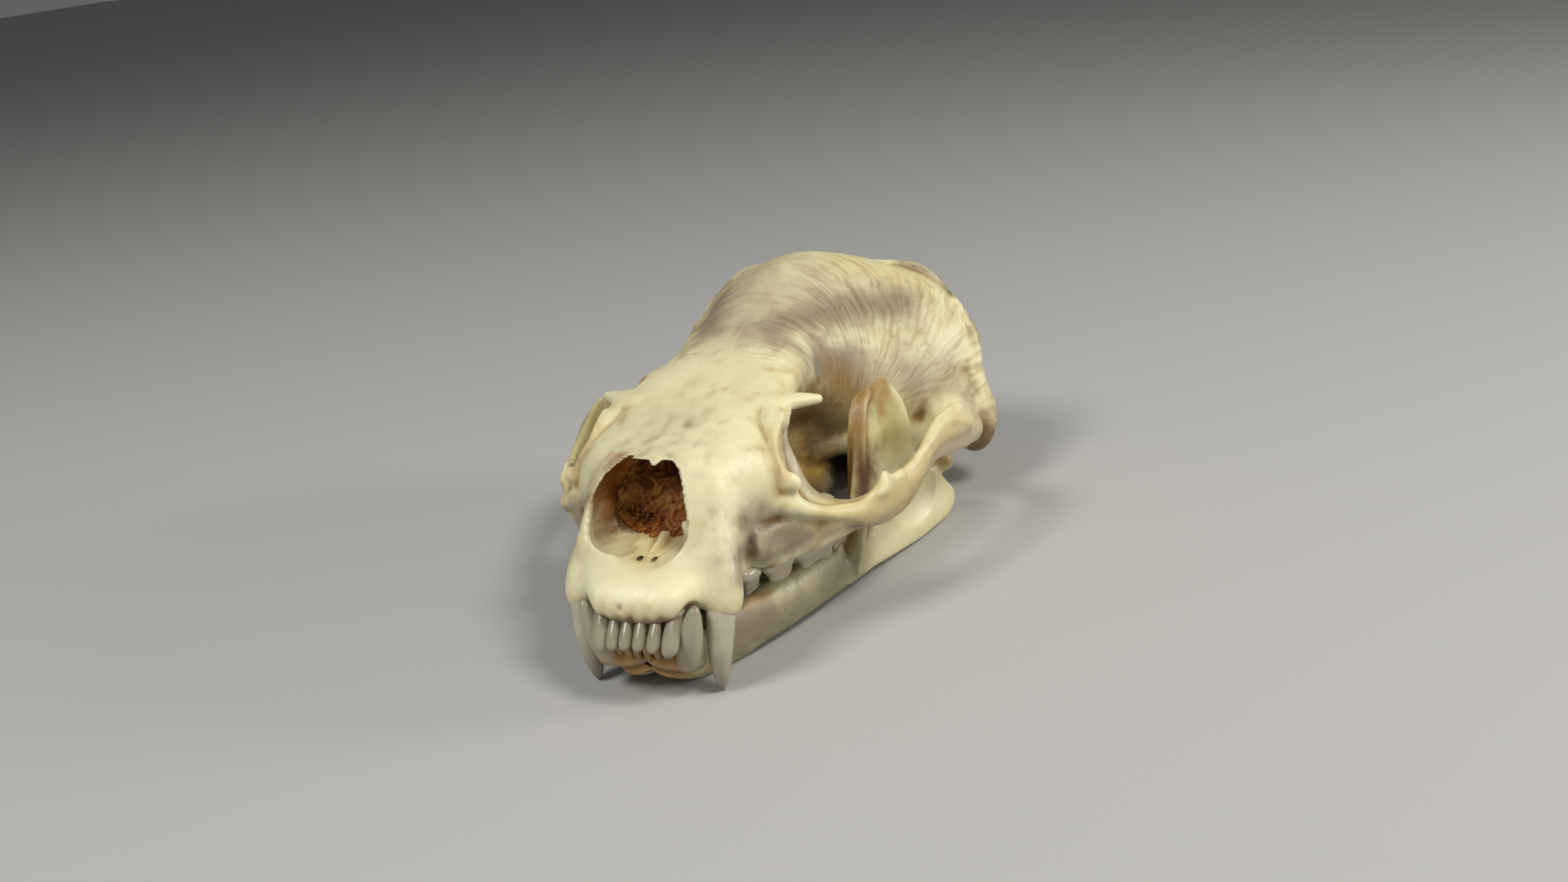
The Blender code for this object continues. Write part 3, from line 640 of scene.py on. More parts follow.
def crown(name, row, side=1.0, rings=14, sides=40):
    steps = [math.sin(math.pi / 2 * i / (rings - 1)) for i in range(rings)]

    def mirrored(t, angle):
        x, y, z = crownRing(row, t, angle)
        return side * x, y, z

    return loft(name, [partial(mirrored, t) for t in steps], sides)


def nasalCutter():
    # the nasal cavity, wider at its mouth
    half = [Vector(point) for point in interpolate(apertureRows, 15)]
    outline = half + [Vector((-p.x, p.y, p.z)) for p in half[-2:0:-1]]
    middle = sum(outline, Vector()) / len(outline)
    inward = Vector((0, 0.94, 0.1))

    def ring(depth, size, angle):
        n = round(angle / (2 * math.pi) * len(outline)) % len(outline)
        point = middle + (outline[n] - middle) * size + inward * depth
        if point.x < 0:  # joined to the scoop on this side
            point.x *= 1 + 0.03 * max(0.0, depth)
        return point

    steps = ((-9.0, 1.12), (-0.6, 1.0), (1.5, 0.98), (9.0, 0.95), (16.0, 0.8), (21.0, 0.5))
    return loft("cavity", [partial(ring, *step) for step in steps], len(outline))


def buildCranium():
    core = [
        body("snout", snoutRows),
        body("vault", vaultRows, rings=90),
        body("nasalTube", nasalTubeRows),
        body("palate", palateRows),
        body("base", baseRows),
    ]
    core += pair(bar, "bulge", canineBulgeRows) + pair(bar, "root", archRootRows)
    for centre, radii in lumps:
        core += [lump("lump", centre, radii, side) for side in (1.0, -1.0)]
    core += pair(bar, "crest", nuchalCrestRows)
    pieces = [fuse("core", core, shape["coreVoxel"], shape["coreRounds"])]
    pieces += pair(bar, "arch", archRows, fullness=1.7)
    for rows in (
        jugalPointRows,
        postorbitalRows,
        orbitRimRows,
        pterygoidRows,
        canineCollarRows,
    ):
        pieces += pair(bar, "bar", rows)
    for side in (1.0, -1.0):
        pieces.append(sheet("wall", orbitWallOuter, orbitWallInner, side))
        pieces.append(sheet("cheek", cheekWallOuter, cheekWallInner, side, half=1.3))
        pieces.append(lump("knob", *rimKnob, side))
    cranium = fuse("cranium", pieces, 0.4, shape["rounds"])
    cutters = [nasalCutter()] + scoop("scoop", noseScoopRows)
    cutters.append(lump("foramen", *foramenMagnum))
    cutters += [tooth("socket", canineNotch, side) for side in (1.0, -1.0)]
    carve(cranium, cutters)
    thin = [cranium, bar("vomer", vomerRows), bar("flap", noseFlapRows)]
    thin += pair(bar, "edge", crestEdgeRows)
    cranium = fuse("cranium", thin, shape["voxel"], shape["lastRounds"])
    carve(cranium, [lump("foramen", *incisiveForamen, side) for side in (1.0, -1.0)])
    return cranium


def buildTurbinates():
    # the scrolls of thin bone that fill the nose
    half = [Vector(point) for point in interpolate(apertureRows, 15)]
    outline = half + [Vector((-p.x, p.y, p.z)) for p in half[-2:0:-1]]
    middle = sum(outline, Vector()) / len(outline) + Vector((0, 0, 1.2))
    inward = Vector((0, 0.94, 0.1))

    def ring(depth, size, angle):
        n = round(angle / (2 * math.pi) * len(outline)) % len(outline)
        return middle + (outline[n] - middle) * size + inward * depth

    steps = ((10.4, 0.1), (10.0, 0.4), (9.0, 0.7), (8.2, 0.99), (16.0, 0.92), (20.0, 0.6))
    plug = loft("plug", [partial(ring, *step) for step in steps], len(outline))
    for vert in plug.data.vertices:
        if vert.co.x < 0:
            vert.co.x *= 1.4
    plug = fuse("turbinates", [plug], 0.22, 10)
    points, normals = pointsOf(plug)
    for n, point in enumerate(points):
        spot = Vector(point)
        spot += 1.4 * noise.noise_vector(spot * 0.35)
        fold = noise.fractal(spot * Vector((0.5, 0.25, 0.45)), 0.6, 2.1, 5)
        points[n] += normals[n] * fold * 0.8
    plug.data.vertices.foreach_set("co", (points * mm).ravel())
    plug.data.update()
    return plug


def buildDentary(name, side):
    pieces = [
        bar("body", jawBodyRows, side),
        lump("chin", *chinLump, side),
        plate("coronoid", coronoidRows, side),
        bar("ridge", ramusRidgeRows, side),
        bar("front", coronoidFrontRows, side, fullness=4),
        bar("neck", condyleNeckRows, side),
        bar("condyle", condyleRows, side),
    ]
    dentary = fuse("dentary", pieces, 0.4, shape["jawRounds"])
    fossa = lump("fossa", *masseterCut, side=side)
    carve(dentary, [fossa])
    dentary = fuse(name, [dentary], shape["jawVoxel"], shape["lastRounds"])
    bm = bmesh.new()
    bm.from_mesh(dentary.data)
    geom = bm.verts[:] + bm.edges[:] + bm.faces[:]
    cut = bmesh.ops.bisect_plane(
        bm, geom=geom, plane_co=(side * 0.1 * mm, 0, 0), plane_no=(-side, 0, 0), clear_outer=True
    )
    edges = [e for e in cut["geom_cut"] if isinstance(e, bmesh.types.BMEdge)]
    bmesh.ops.holes_fill(bm, edges=edges)
    bm.to_mesh(dentary.data)
    bm.free()
    return dentary


# what the modifiers leave to listed strokes and paint

def pointsOf(obj):
    count = len(obj.data.vertices)
    points, normals = np.empty(count * 3), np.empty(count * 3)
    obj.data.vertices.foreach_get("co", points)
    obj.data.vertices.foreach_get("normal", normals)
    return points.reshape(-1, 3) / mm, normals.reshape(-1, 3)


def relaxed(obj, values, rounds):
    # values at the vertices, averaged with their neighbours
    edges = np.empty(len(obj.data.edges) * 2, np.int64)
    obj.data.edges.foreach_get("vertices", edges)
    a, b = edges.reshape(-1, 2).T
    count = len(values)
    near = np.bincount(a, minlength=count) + np.bincount(b, minlength=count)
    values = values.reshape(count, -1).copy()
    for _ in range(rounds):
        for axis in range(values.shape[1]):
            column = values[:, axis]
            total = np.bincount(a, column[b], count) + np.bincount(b, column[a], count)
            values[:, axis] = (column + total / near) / 2
    return values


def falloff(points, path, width, side, stretch=None):
    # 1 on a path and 0 well away from it
    line = interpolate([tuple(row) + (0,) * (3 - len(row)) for row in path], 8 * len(path))
    line = line[:, :3] * (side, 1, 1)
    low, high = line.min(axis=0) - 3 * width, line.max(axis=0) + 3 * width
    close = np.flatnonzero(((points > low) & (points < high)).all(axis=1))
    amount = np.zeros(len(points))
    if len(close):
        gaps = np.linalg.norm(points[close, None, :] - line[None, :, :], axis=2).min(axis=1)
        if stretch is not None:
            gaps = gaps * stretch[close]
        amount[close] = np.exp(-((gaps / width) ** 2))
    return amount


def sculpt(obj, strokes):
    # each stroke: path, width, height, sides; moves the skin along its normal
    points, normals = pointsOf(obj)
    moved = np.zeros(len(points))
    for path, width, height, sides in strokes:
        for side in sides:
            moved += height * falloff(points, path, width, side)
    points += normals * moved[:, None]
    obj.data.vertices.foreach_set("co", (points * mm).ravel())
    obj.data.update()


def paint(obj, base, stainsAndPaintedLight, patchy=1.0, smoothPaths=()):
    # a colour at every vertex: broad washes and small stains over the bone's own tone, and painted
    # shade and painted light, with ragged edges; its alpha tells where the bone is fibrous
    points, normals = pointsOf(obj)
    cloud = [noise.fractal(Vector(point) * 0.3 * patchy, 0.7, 2.1, 5) for point in points]
    stretch = 1 + 0.5 * np.clip(cloud, -1, 1)
    colours = np.tile(np.array(palette[base]), (len(points), 1))
    for tone, path, width, strength, sides, *facing in stainsAndPaintedLight:
        for side in sides:
            amount = strength * falloff(points, path, width, side, stretch)
            if facing:  # only the side that faces this way
                amount *= np.clip(0.3 + 1.5 * normals @ (np.array(facing[0]) * (side, 1, 1)), 0, 1)
            amount = amount[:, None]
            colours = colours * (1 - amount) + np.array(palette[tone]) * amount
    layer = obj.data.color_attributes.new("tint", "FLOAT_COLOR", "POINT")
    full = np.ones((len(points), 4), np.float32)
    full[:, :3] = colours
    full[:, 3] = np.clip((points[:, 1] - 38) / 14, 0, 1) * np.clip((104 - points[:, 1]) / 4, 0, 1)
    full[:, 3] *= np.clip(np.abs(points[:, 0]) / 8, 0.35, 1)
    for path in smoothPaths:
        for side in (1.0, -1.0):
            full[:, 3] *= 1 - np.minimum(1, 3 * falloff(points, path, 5.0, side))
    layer.data.foreach_set("color", full.ravel())
    hollow = relaxed(obj, points, 24) - points
    depth = np.einsum("ij,ij->i", hollow, normals)
    layer = obj.data.attributes.new("hollow", "FLOAT", "POINT")
    layer.data.foreach_set("value", depth.astype(np.float32))


def thinOut(obj, most):
    obj.data.calc_loop_triangles()
    count = len(obj.data.loop_triangles)
    if count <= most:
        return
    fewer = obj.modifiers.new("fewer", "DECIMATE")
    fewer.ratio = most / count
    bake(obj)


def smoothShade(obj):
    obj.data.polygons.foreach_set("use_smooth", [True] * len(obj.data.polygons))
    obj.data.update()


def flatten(obj):
    # cut level where it rests on the floor
    bm = bmesh.new()
    bm.from_mesh(obj.data)
    if min(vert.co.z for vert in bm.verts) < 0:
        geom = bm.verts[:] + bm.edges[:] + bm.faces[:]
        cut = bmesh.ops.bisect_plane(bm, geom=geom, plane_co=(0, 0, 0), plane_no=(0, 0, -1), clear_outer=True)
        edges = [e for e in cut["geom_cut"] if isinstance(e, bmesh.types.BMEdge)]
        bmesh.ops.holes_fill(bm, edges=edges)
        bm.to_mesh(obj.data)
    bm.free()


def addSocket(group, name, into, kind, value=None):
    socket = group.interface.new_socket(name=name, in_out=into, socket_type=kind)
    if value is not None:
        socket.default_value = value
    return socket


def mathNode(tree, operation, first, second=None, clamp=False):
    node = tree.nodes.new("ShaderNodeMath")
    node.operation = operation
    node.use_clamp = clamp
    for socket, value in zip(node.inputs, (first, second)):
        if value is None:
            continue
        if isinstance(value, bpy.types.NodeSocket):
            tree.links.new(value, socket)
        else:
            socket.default_value = value
    return node.outputs[0]


def noiseNode(tree, vector, scale, detail=4.0, roughness=0.55):
    node = tree.nodes.new("ShaderNodeTexNoise")
    node.inputs["Scale"].default_value = scale
    node.inputs["Detail"].default_value = detail
    node.inputs["Roughness"].default_value = roughness
    tree.links.new(vector, node.inputs["Vector"])
    return node.outputs["Fac"]


def mixNode(tree, amount, first, second, blend="MIX"):
    node = tree.nodes.new("ShaderNodeMix")
    node.data_type = "RGBA"
    node.blend_type = blend
    for socket, value in zip((node.inputs[0], node.inputs[6], node.inputs[7]), (amount, first, second)):
        if isinstance(value, bpy.types.NodeSocket):
            tree.links.new(value, socket)
        else:
            socket.default_value = value
    return node.outputs[2]


def rangeNode(tree, value, low, high, toLow=0.0, toHigh=1.0):
    node = tree.nodes.new("ShaderNodeMapRange")
    node.interpolation_type = "SMOOTHSTEP"
    for name, number in (("From Min", low), ("From Max", high), ("To Min", toLow), ("To Max", toHigh)):
        node.inputs[name].default_value = number
    tree.links.new(value, node.inputs["Value"])
    return node.outputs["Result"]


def boneGrainGroup():
    # fibres that fan out from the temples, cloudy mottling and pores
    group = bpy.data.node_groups.new("boneGrain", "ShaderNodeTree")
    addSocket(group, "Vector", "INPUT", "NodeSocketVector")
    for name in ("Fibres", "Mottling", "Pores"):
        addSocket(group, name, "OUTPUT", "NodeSocketFloat")
    source, sink = group.nodes.new("NodeGroupInput"), group.nodes.new("NodeGroupOutput")
    split = group.nodes.new("ShaderNodeSeparateXYZ")
    group.links.new(source.outputs["Vector"], split.inputs[0])
    ahead = mathNode(group, "SUBTRACT", split.outputs["Y"], grain["templeY"])
    above = mathNode(group, "SUBTRACT", split.outputs["Z"], grain["templeZ"])
    turn = mathNode(group, "ARCTAN2", above, ahead)
    sway = noiseNode(group, source.outputs["Vector"], grain["swayScale"], 2.0)
    turn = mathNode(group, "ADD", turn, mathNode(group, "MULTIPLY", sway, grain["sway"]))
    outward = mathNode(group, "ABSOLUTE", split.outputs["X"])
    reach = mathNode(group, "SQRT", mathNode(
        group, "ADD", mathNode(group, "MULTIPLY", ahead, ahead), mathNode(group, "MULTIPLY", above, above)
    ))
    fan = group.nodes.new("ShaderNodeCombineXYZ")
    group.links.new(mathNode(group, "MULTIPLY", turn, grain["fibreSpread"]), fan.inputs[0])
    group.links.new(mathNode(group, "MULTIPLY", reach, grain["fibreLength"]), fan.inputs[1])
    group.links.new(mathNode(group, "MULTIPLY", outward, grain["fibreLength"]), fan.inputs[2])
    group.links.new(noiseNode(group, fan.outputs[0], 1.0, 6.0, 0.68), sink.inputs["Fibres"])
    group.links.new(
        noiseNode(group, source.outputs["Vector"], grain["mottleScale"], 5.0), sink.inputs["Mottling"]
    )
    group.links.new(
        noiseNode(group, source.outputs["Vector"], grain["poreScale"], 3.0, 0.7), sink.inputs["Pores"]
    )
    return group


grain = {
    "templeY": 0.006,  # metres, where the fibres meet
    "templeZ": 0.022,
    "fibreSpread": 34.0,
    "fibreLength": 120.0,
    "swayScale": 70.0,
    "sway": 0.16,
    "mottleScale": 110.0,
    "poreScale": 1500.0,
}


def boneMaterial(name, look):
    material = bpy.data.materials.new(name)
    material.use_nodes = True
    tree = material.node_tree
    shader = tree.nodes["Principled BSDF"]
    place = tree.nodes.new("ShaderNodeTexCoord").outputs["Object"]
    marks = tree.nodes.new("ShaderNodeGroup")
    marks.node_tree = boneGrain
    tree.links.new(place, marks.inputs["Vector"])
    tint = tree.nodes.new("ShaderNodeAttribute")
    tint.attribute_name = "tint"
    hollow = tree.nodes.new("ShaderNodeAttribute")
    hollow.attribute_name = "hollow"
    colour = mixNode(tree, rangeNode(tree, marks.outputs["Mottling"], 0.35, 0.7, 0.0, look["mottling"]),
                     tint.outputs["Color"], (*look["mottleColour"], 1.0), "MULTIPLY")
    threads = rangeNode(tree, marks.outputs["Fibres"], 0.4, 0.66, 0.0, look["fibres"])
    threads = mathNode(tree, "MULTIPLY", threads, tint.outputs["Alpha"])
    colour = mixNode(tree, threads, colour, (*look["fibreColour"], 1.0), "MULTIPLY")
    # darker in the hollows: dirt on the bone, and painted shade in its creases and recesses and between the teeth
    dirtAndShade = rangeNode(tree, hollow.outputs["Fac"], 0.03, look["dirtAndShadeDepth"], 0.0, look["dirtAndShade"])
    colour = mixNode(tree, dirtAndShade, colour, (*look["dirtAndShadeColour"], 1.0), "MULTIPLY")
    # lighter on the convex edges: rubbed wear on the bone, and a painted highlight on the enamel and the scrolls
    wornAndLit = rangeNode(tree, hollow.outputs["Fac"], -look["wearAndHighlightDepth"], 0.0, look["wearAndHighlight"], 0.0)
    colour = mixNode(tree, wornAndLit, colour, (*look["wearAndHighlightColour"], 1.0))
    tree.links.new(colour, shader.inputs["Base Color"])
    rough = rangeNode(tree, marks.outputs["Pores"], 0.3, 0.7, look["roughLow"], look["roughHigh"])
    tree.links.new(rough, shader.inputs["Roughness"])
    fibreHeight = mathNode(tree, "MULTIPLY", marks.outputs["Fibres"], tint.outputs["Alpha"])
    height = mathNode(tree, "ADD", mathNode(tree, "MULTIPLY", fibreHeight, look["fibreRelief"]),
                      mathNode(tree, "MULTIPLY", marks.outputs["Pores"], look["poreRelief"]))
    height = mathNode(tree, "ADD", height, mathNode(tree, "MULTIPLY", marks.outputs["Mottling"], look["mottleRelief"]))
    bump = tree.nodes.new("ShaderNodeBump")
    bump.inputs["Strength"].default_value = 1.0
    bump.inputs["Distance"].default_value = 0.001
    tree.links.new(height, bump.inputs["Height"])
    tree.links.new(bump.outputs["Normal"], shader.inputs["Normal"])
    shader.inputs["IOR"].default_value = 1.5
    shader.inputs["Specular IOR Level"].default_value = look["sheen"]
    return material

palette = {
    "cream": (0.66, 0.625, 0.385),
    "paleCream": (0.86, 0.82, 0.54),
    "jawCream": (0.61, 0.56, 0.30),
    "warmCream": (0.58, 0.45, 0.20),
    "mauve": (0.36, 0.30, 0.21),
    "darkMauve": (0.20, 0.16, 0.11),
    "shade": (0.20, 0.16, 0.11),
    "ochre": (0.30, 0.17, 0.035),
    "brown": (0.10, 0.035, 0.006),
    "black": (0.008, 0.004, 0.002),
    "orange": (0.55, 0.27, 0.05),
    "paleOrange": (0.95, 0.62, 0.17),
    "grey": (0.19, 0.165, 0.105),
    "olive": (0.42, 0.36, 0.13),
    "enamel": (0.22, 0.19, 0.13),
    "paleEnamel": (0.62, 0.58, 0.42),
    "rust": (0.17, 0.048, 0.005),
    "brightRust": (0.46, 0.17, 0.022),
    "darkRust": (0.05, 0.012, 0.002),
    "tan": (0.40, 0.20, 0.05),
    "fossa": (0.58, 0.42, 0.15),
}
bothSides = (1.0, -1.0)
inwards, downwards = (-1, 0, 0), (0, 0, -1)

# tone, path, width, strength, sides, and the way the painted face looks; stains, painted shade and painted light
craniumStainsAndPaintedLight = (
    # vault
    ("mauve", ((2, 56, 35), (4, 64, 37), (6, 76, 39)), 7.0, 0.45, bothSides),
    ("warmCream", ((10, 90, 39), (20, 94, 34)), 7.0, 0.45, bothSides),
    ("mauve", ((6, 52, 33.5), (9, 58, 34), (12, 68, 34), (16, 80, 33), (20, 90, 30.5)), 5.0, 0.8, bothSides),
    ("darkMauve", ((6, 54, 34), (9, 60, 34), (12, 68, 33), (16, 78, 31.5), (19.6, 88, 30)), 3.6, 0.6, bothSides),
    ("warmCream", ((16, 62, 20), (20, 70, 18), (26, 82, 12), (30, 90, 9)), 6.0, 0.6, bothSides),
    ("darkMauve", ((13.8, 55, 27), (14.8, 60, 26), (16.6, 64, 25)), 4.4, 0.95, bothSides),
    ("ochre", ((15, 60, 22), (16.6, 63, 20.7), (18, 66, 17)), 4.0, 0.8, bothSides),
    ("ochre", ((14.8, 60, 26), (16.6, 63, 20.7)), 3.0, 0.35, bothSides),
    ("darkMauve", ((24, 78, 16), (27.6, 84.2, 14.9), (29, 90, 14)), 4.5, 0.6, bothSides),
    ("warmCream", ((12.6, 42, 27.5), (14.2, 48, 28.4)), 1.5, 0.7, bothSides),
    ("cream", ((10.4, 55, 32), (12, 54.5, 29), (12.6, 52.6, 25)), 1.3, 0.9, bothSides),
    ("brown", ((26, 102, 29), (19, 104.4, 34), (15, 105, 34.8)), 1.2, 0.95, bothSides),
    ("brown", ((31.4, 99.6, 20), (30, 100.8, 24)), 1.2, 0.9, bothSides),
    ("ochre", ((34.5, 90.2, 3.2), (33, 95, 1), (30, 98, 1)), 4.4, 1.0, bothSides),
    ("brown", ((35, 89, 2), (33.6, 86, 5)), 3.0, 1.0, bothSides),
    ("brown", ((36, 90, 2), (35, 94, -1), (31, 98, -1)), 3.4, 0.8, bothSides),
    ("brown", ((33.4, 88, 0), (31, 86, 0)), 3.4, 0.8, bothSides),
    ("ochre", ((37, 74, 7), (35, 77, 5.6)), 2.2, 0.8, bothSides),
    # painted shade inside the foramen magnum
    ("brown", ((0, 104, 15), (0, 99, 15)), 5.6, 0.95, (1.0,)),
    ("ochre", ((0, 106, 32), (10, 105.6, 30), (20, 103.6, 26), (28, 101, 18)), 2.6, 0.5, bothSides),
    # inside of the orbit: its own ochre painted lighter as painted light, and painted shadow in its gaps
    # the orbit's own ochre, made lighter as painted light where the lamps reach little
    ("fossa", ((9, 36, 18), (10, 46, 15), (11, 54, 12)), 6.6, 0.95, bothSides),
    ("ochre", ((12, 52, 20), (14, 56, 20)), 3.6, 0.8, bothSides),
    ("brown", ((10, 52, 17), (11, 59, 16), (11, 63, 10)), 4.0, 0.7, bothSides),
    # painted shadow: black in the gap at the back of the orbit
    ("black", ((9, 58, 8), (10, 64, 5), (12, 74, 2)), 3.6, 1.0, bothSides),
    ("warmCream", ((9.6, 44, 10.5), (9.6, 54, 10.5)), 1.6, 0.7, bothSides),
    # painted light: the orange floor of the orbit painted bright where the lamps don't reach
    ("paleOrange", ((8, 48, 5), (8.4, 56, 4.4), (8.6, 63, 3)), 4.0, 0.95, bothSides),
    # painted shadow: black in the gap beside the pterygoid
    ("black", ((9.4, 70, -2), (11, 80, -2)), 3.4, 0.95, bothSides),
    # sides of the snout, cheek and wall of the orbit
    # painted shade: the snout's side and the recess under the arch root darkened where they turn from the lamps
    ("mauve", ((14.2, 10.4, 5.6), (14.4, 13, 6), (14.8, 16, 8), (15, 18, 12)), 2.6, 0.75, bothSides),
    ("shade", ((15.6, 16.6, 9.4), (17, 18.4, 8), (18.6, 20, 7)), 2.8, 0.6, bothSides),
    ("darkMauve", ((15.6, 16.6, 5), (17.6, 19.4, 4.6), (20, 22, 5.4), (22, 25, 6.2)), 2.4, 0.85, bothSides),
    ("darkMauve", ((19.6, 21.6, 6), (22, 25, 6.4), (24, 28, 5.6)), 2.4, 0.7, bothSides),
    ("darkMauve", ((14.6, 10.6, 3), (15, 14, 6), (15.4, 18, 11)), 2.8, 0.65, bothSides),
    ("darkMauve", ((14, 9, 6), (14.6, 12, 8)), 3.0, 0.35, bothSides),
    ("darkMauve", ((18, 19.6, 8.6), (20, 22, 7.6)), 2.2, 0.8, bothSides),
    ("cream", ((22.6, 24.4, 8.4), (25, 27.4, 7.6), (27, 31, 6.8)), 1.2, 0.6, bothSides),
    ("warmCream", ((16.6, 25.4, 22.4), (17.6, 22.4, 19.4), (19, 20.4, 15)), 2.0, 1.0, bothSides),
    ("mauve", ((16.6, 23.6, 21), (17.4, 22, 18.6), (18.2, 20.8, 16)), 1.2, 0.5, bothSides),
    ("ochre", ((16.8, 24.6, 21.6), (17.6, 22.8, 19.4), (18.4, 21.6, 17)), 1.0, 0.35, bothSides),
    ("mauve", ((16.4, 26, 21.6), (17.8, 24.4, 18.6), (18.8, 23.6, 16)), 1.2, 0.6, bothSides),
    ("mauve", ((17.4, 29, 22.4), (18.2, 27, 19.6), (19.2, 26.4, 16.4), (20.2, 27.4, 13.2), (21.4, 30, 10.6), (22.8, 34.6, 8.4)), 1.9, 1.0, bothSides),
    ("mauve", ((19.4, 34, 8), (22, 38, 6.6), (24, 40, 6)), 3.0, 0.9, bothSides),
    # painted shade along the lower edge of the arch
    ("darkMauve", ((27.6, 32.4, 5.2), (29, 34, 4.8), (32.4, 42, 5), (34.8, 48, 7.2)), 2.6, 0.95, bothSides),
    ("mauve", ((17, 68, 20), (20, 74, 20), (24, 80, 19)), 3.6, 0.6, bothSides),
    ("warmCream", ((24, 26, 8.9), (30, 38, 8), (34, 51, 11), (36, 63, 13), (37, 71, 11), (35, 77, 8)), 3.8, 0.8, bothSides),
    ("ochre", ((28, 33, 7.6), (33, 46, 9), (35, 60, 11), (37, 71, 10)), 3.0, 0.35, bothSides),
    # painted shade on the lower face of the arch, further back
    ("mauve", ((35.4, 58, 9.4), (37.4, 66, 9), (37, 72, 7.6)), 2.0, 0.7, bothSides),
    ("darkMauve", ((37, 66, 15.6), (37.6, 70, 13.4), (37.4, 73, 10.6)), 1.6, 0.45, bothSides),
    # painted shade on the lower face of the arch
    ("ochre", ((33, 43, 6.6), (34.6, 47, 7.4)), 2.2, 0.4, bothSides),
    ("brown", ((34.6, 50, 8.4), (36, 57, 9), (37.6, 66, 8.6)), 1.8, 0.35, bothSides),
    ("olive", ((-36, 60, 17), (-34, 50, 14), (-31, 40, 11)), 4.0, 0.8, (1.0,)),
    ("darkMauve", ((-35, 56, 15), (-33, 48, 13)), 2.6, 0.8, (1.0,)),
    # painted shade on the lower face of the arch
    ("mauve", ((34, 52, 9), (36, 58, 9.6), (37.4, 66, 9), (37.6, 70, 9)), 2.4, 0.85, bothSides),
    ("olive", ((31, 46, 10), (33, 56, 12), (35, 66, 12)), 5.0, 0.85, bothSides, inwards),
    # nose
    ("brown", ((7.2, 10.4, 11.6), (6.8, 12.4, 15), (5, 16, 19)), 4.6, 1.0, bothSides, inwards),
    # painted shadow: rust on the upper wall of the scoop, under the crest
    ("rust", ((-6.4, 15, 19.4), (-8.4, 14, 17), (-10.4, 12.4, 14.4)), 2.6, 1.0, (1.0,)),
    # the wall's own rust, made lighter as painted light where the lamps reach little
    ("brightRust", ((6, 18, 17), (8.4, 17.6, 14), (7.6, 18, 11)), 3.4, 1.0, (-1.0,), inwards),
    ("brightRust", ((7, 19, 18), (10, 18, 15)), 4.0, 1.0, (-1.0,), inwards),
    ("cream", ((-11, 10.6, 10.4), (-9.6, 10, 9), (-7.6, 9.4, 8)), 2.6, 0.85, (1.0,)),
    ("brown", ((0, 22, 12), (0, 26, 15)), 8.0, 1.0, (1.0,)),
    ("warmCream", ((0, 8, 7), (0, 16, 8)), 4.5, 0.7, (1.0,)),
    ("ochre", ((4.6, 15, 8.4), (6, 14, 10)), 1.4, 0.6, bothSides),
    ("cream", ((6.2, 9.6, 7.4), (6.2, 11, 9.6), (5, 12.4, 11.8)), 1.3, 0.9, (1.0,)),
    # painted shade inside the incisive foramina
    ("brown", ((1.3, 7.4, 5.8), (1.3, 7.4, 4.6)), 0.9, 0.95, bothSides),
    ("brown", ((2.2, 15, 22), (5, 13.8, 20.4), (6.4, 11.4, 16.4)), 0.5, 0.6, bothSides),
    # painted shade in the groove beside the rim
    ("ochre", ((9, 9.6, 12.4), (8.6, 8.6, 9.8), (8, 8, 8.4)), 1.1, 0.45, (1.0,)),
    ("ochre", ((8.9, 16.1, 21.5), (8.9, 16.4, 21.6)), 0.9, 0.3, bothSides),
    # painted shade inside the pit over the front teeth
    ("brown", ((-1.8, -0.7, 1.6), (-1.8, -0.7, 1.9)), 0.6, 0.8, (1.0,)),
    ("paleCream", ((0, -0.4, 2.6), (6, 1, 3.2), (10, 4, 4)), 2.4, 0.5, bothSides),
    # gums
    ("warmCream", ((0, 0.4, 1), (4, 0.6, 0.8), (8, 2.4, 0.8)), 1.3, 0.6, bothSides),
    ("brown", ((0, -0.2, -0.2), (4, 0, -0.2), (8, 2, -0.4), (9.6, 4, -0.4)), 0.7, 0.7, bothSides),
    ("ochre", ((12, 5.4, -0.4), (14.4, 8, -0.6), (14, 11, 0)), 1.5, 0.6, bothSides),
    ("orange", ((15.6, 15.4, 1), (16.4, 18.4, 1)), 1.2, 0.8, bothSides),
)
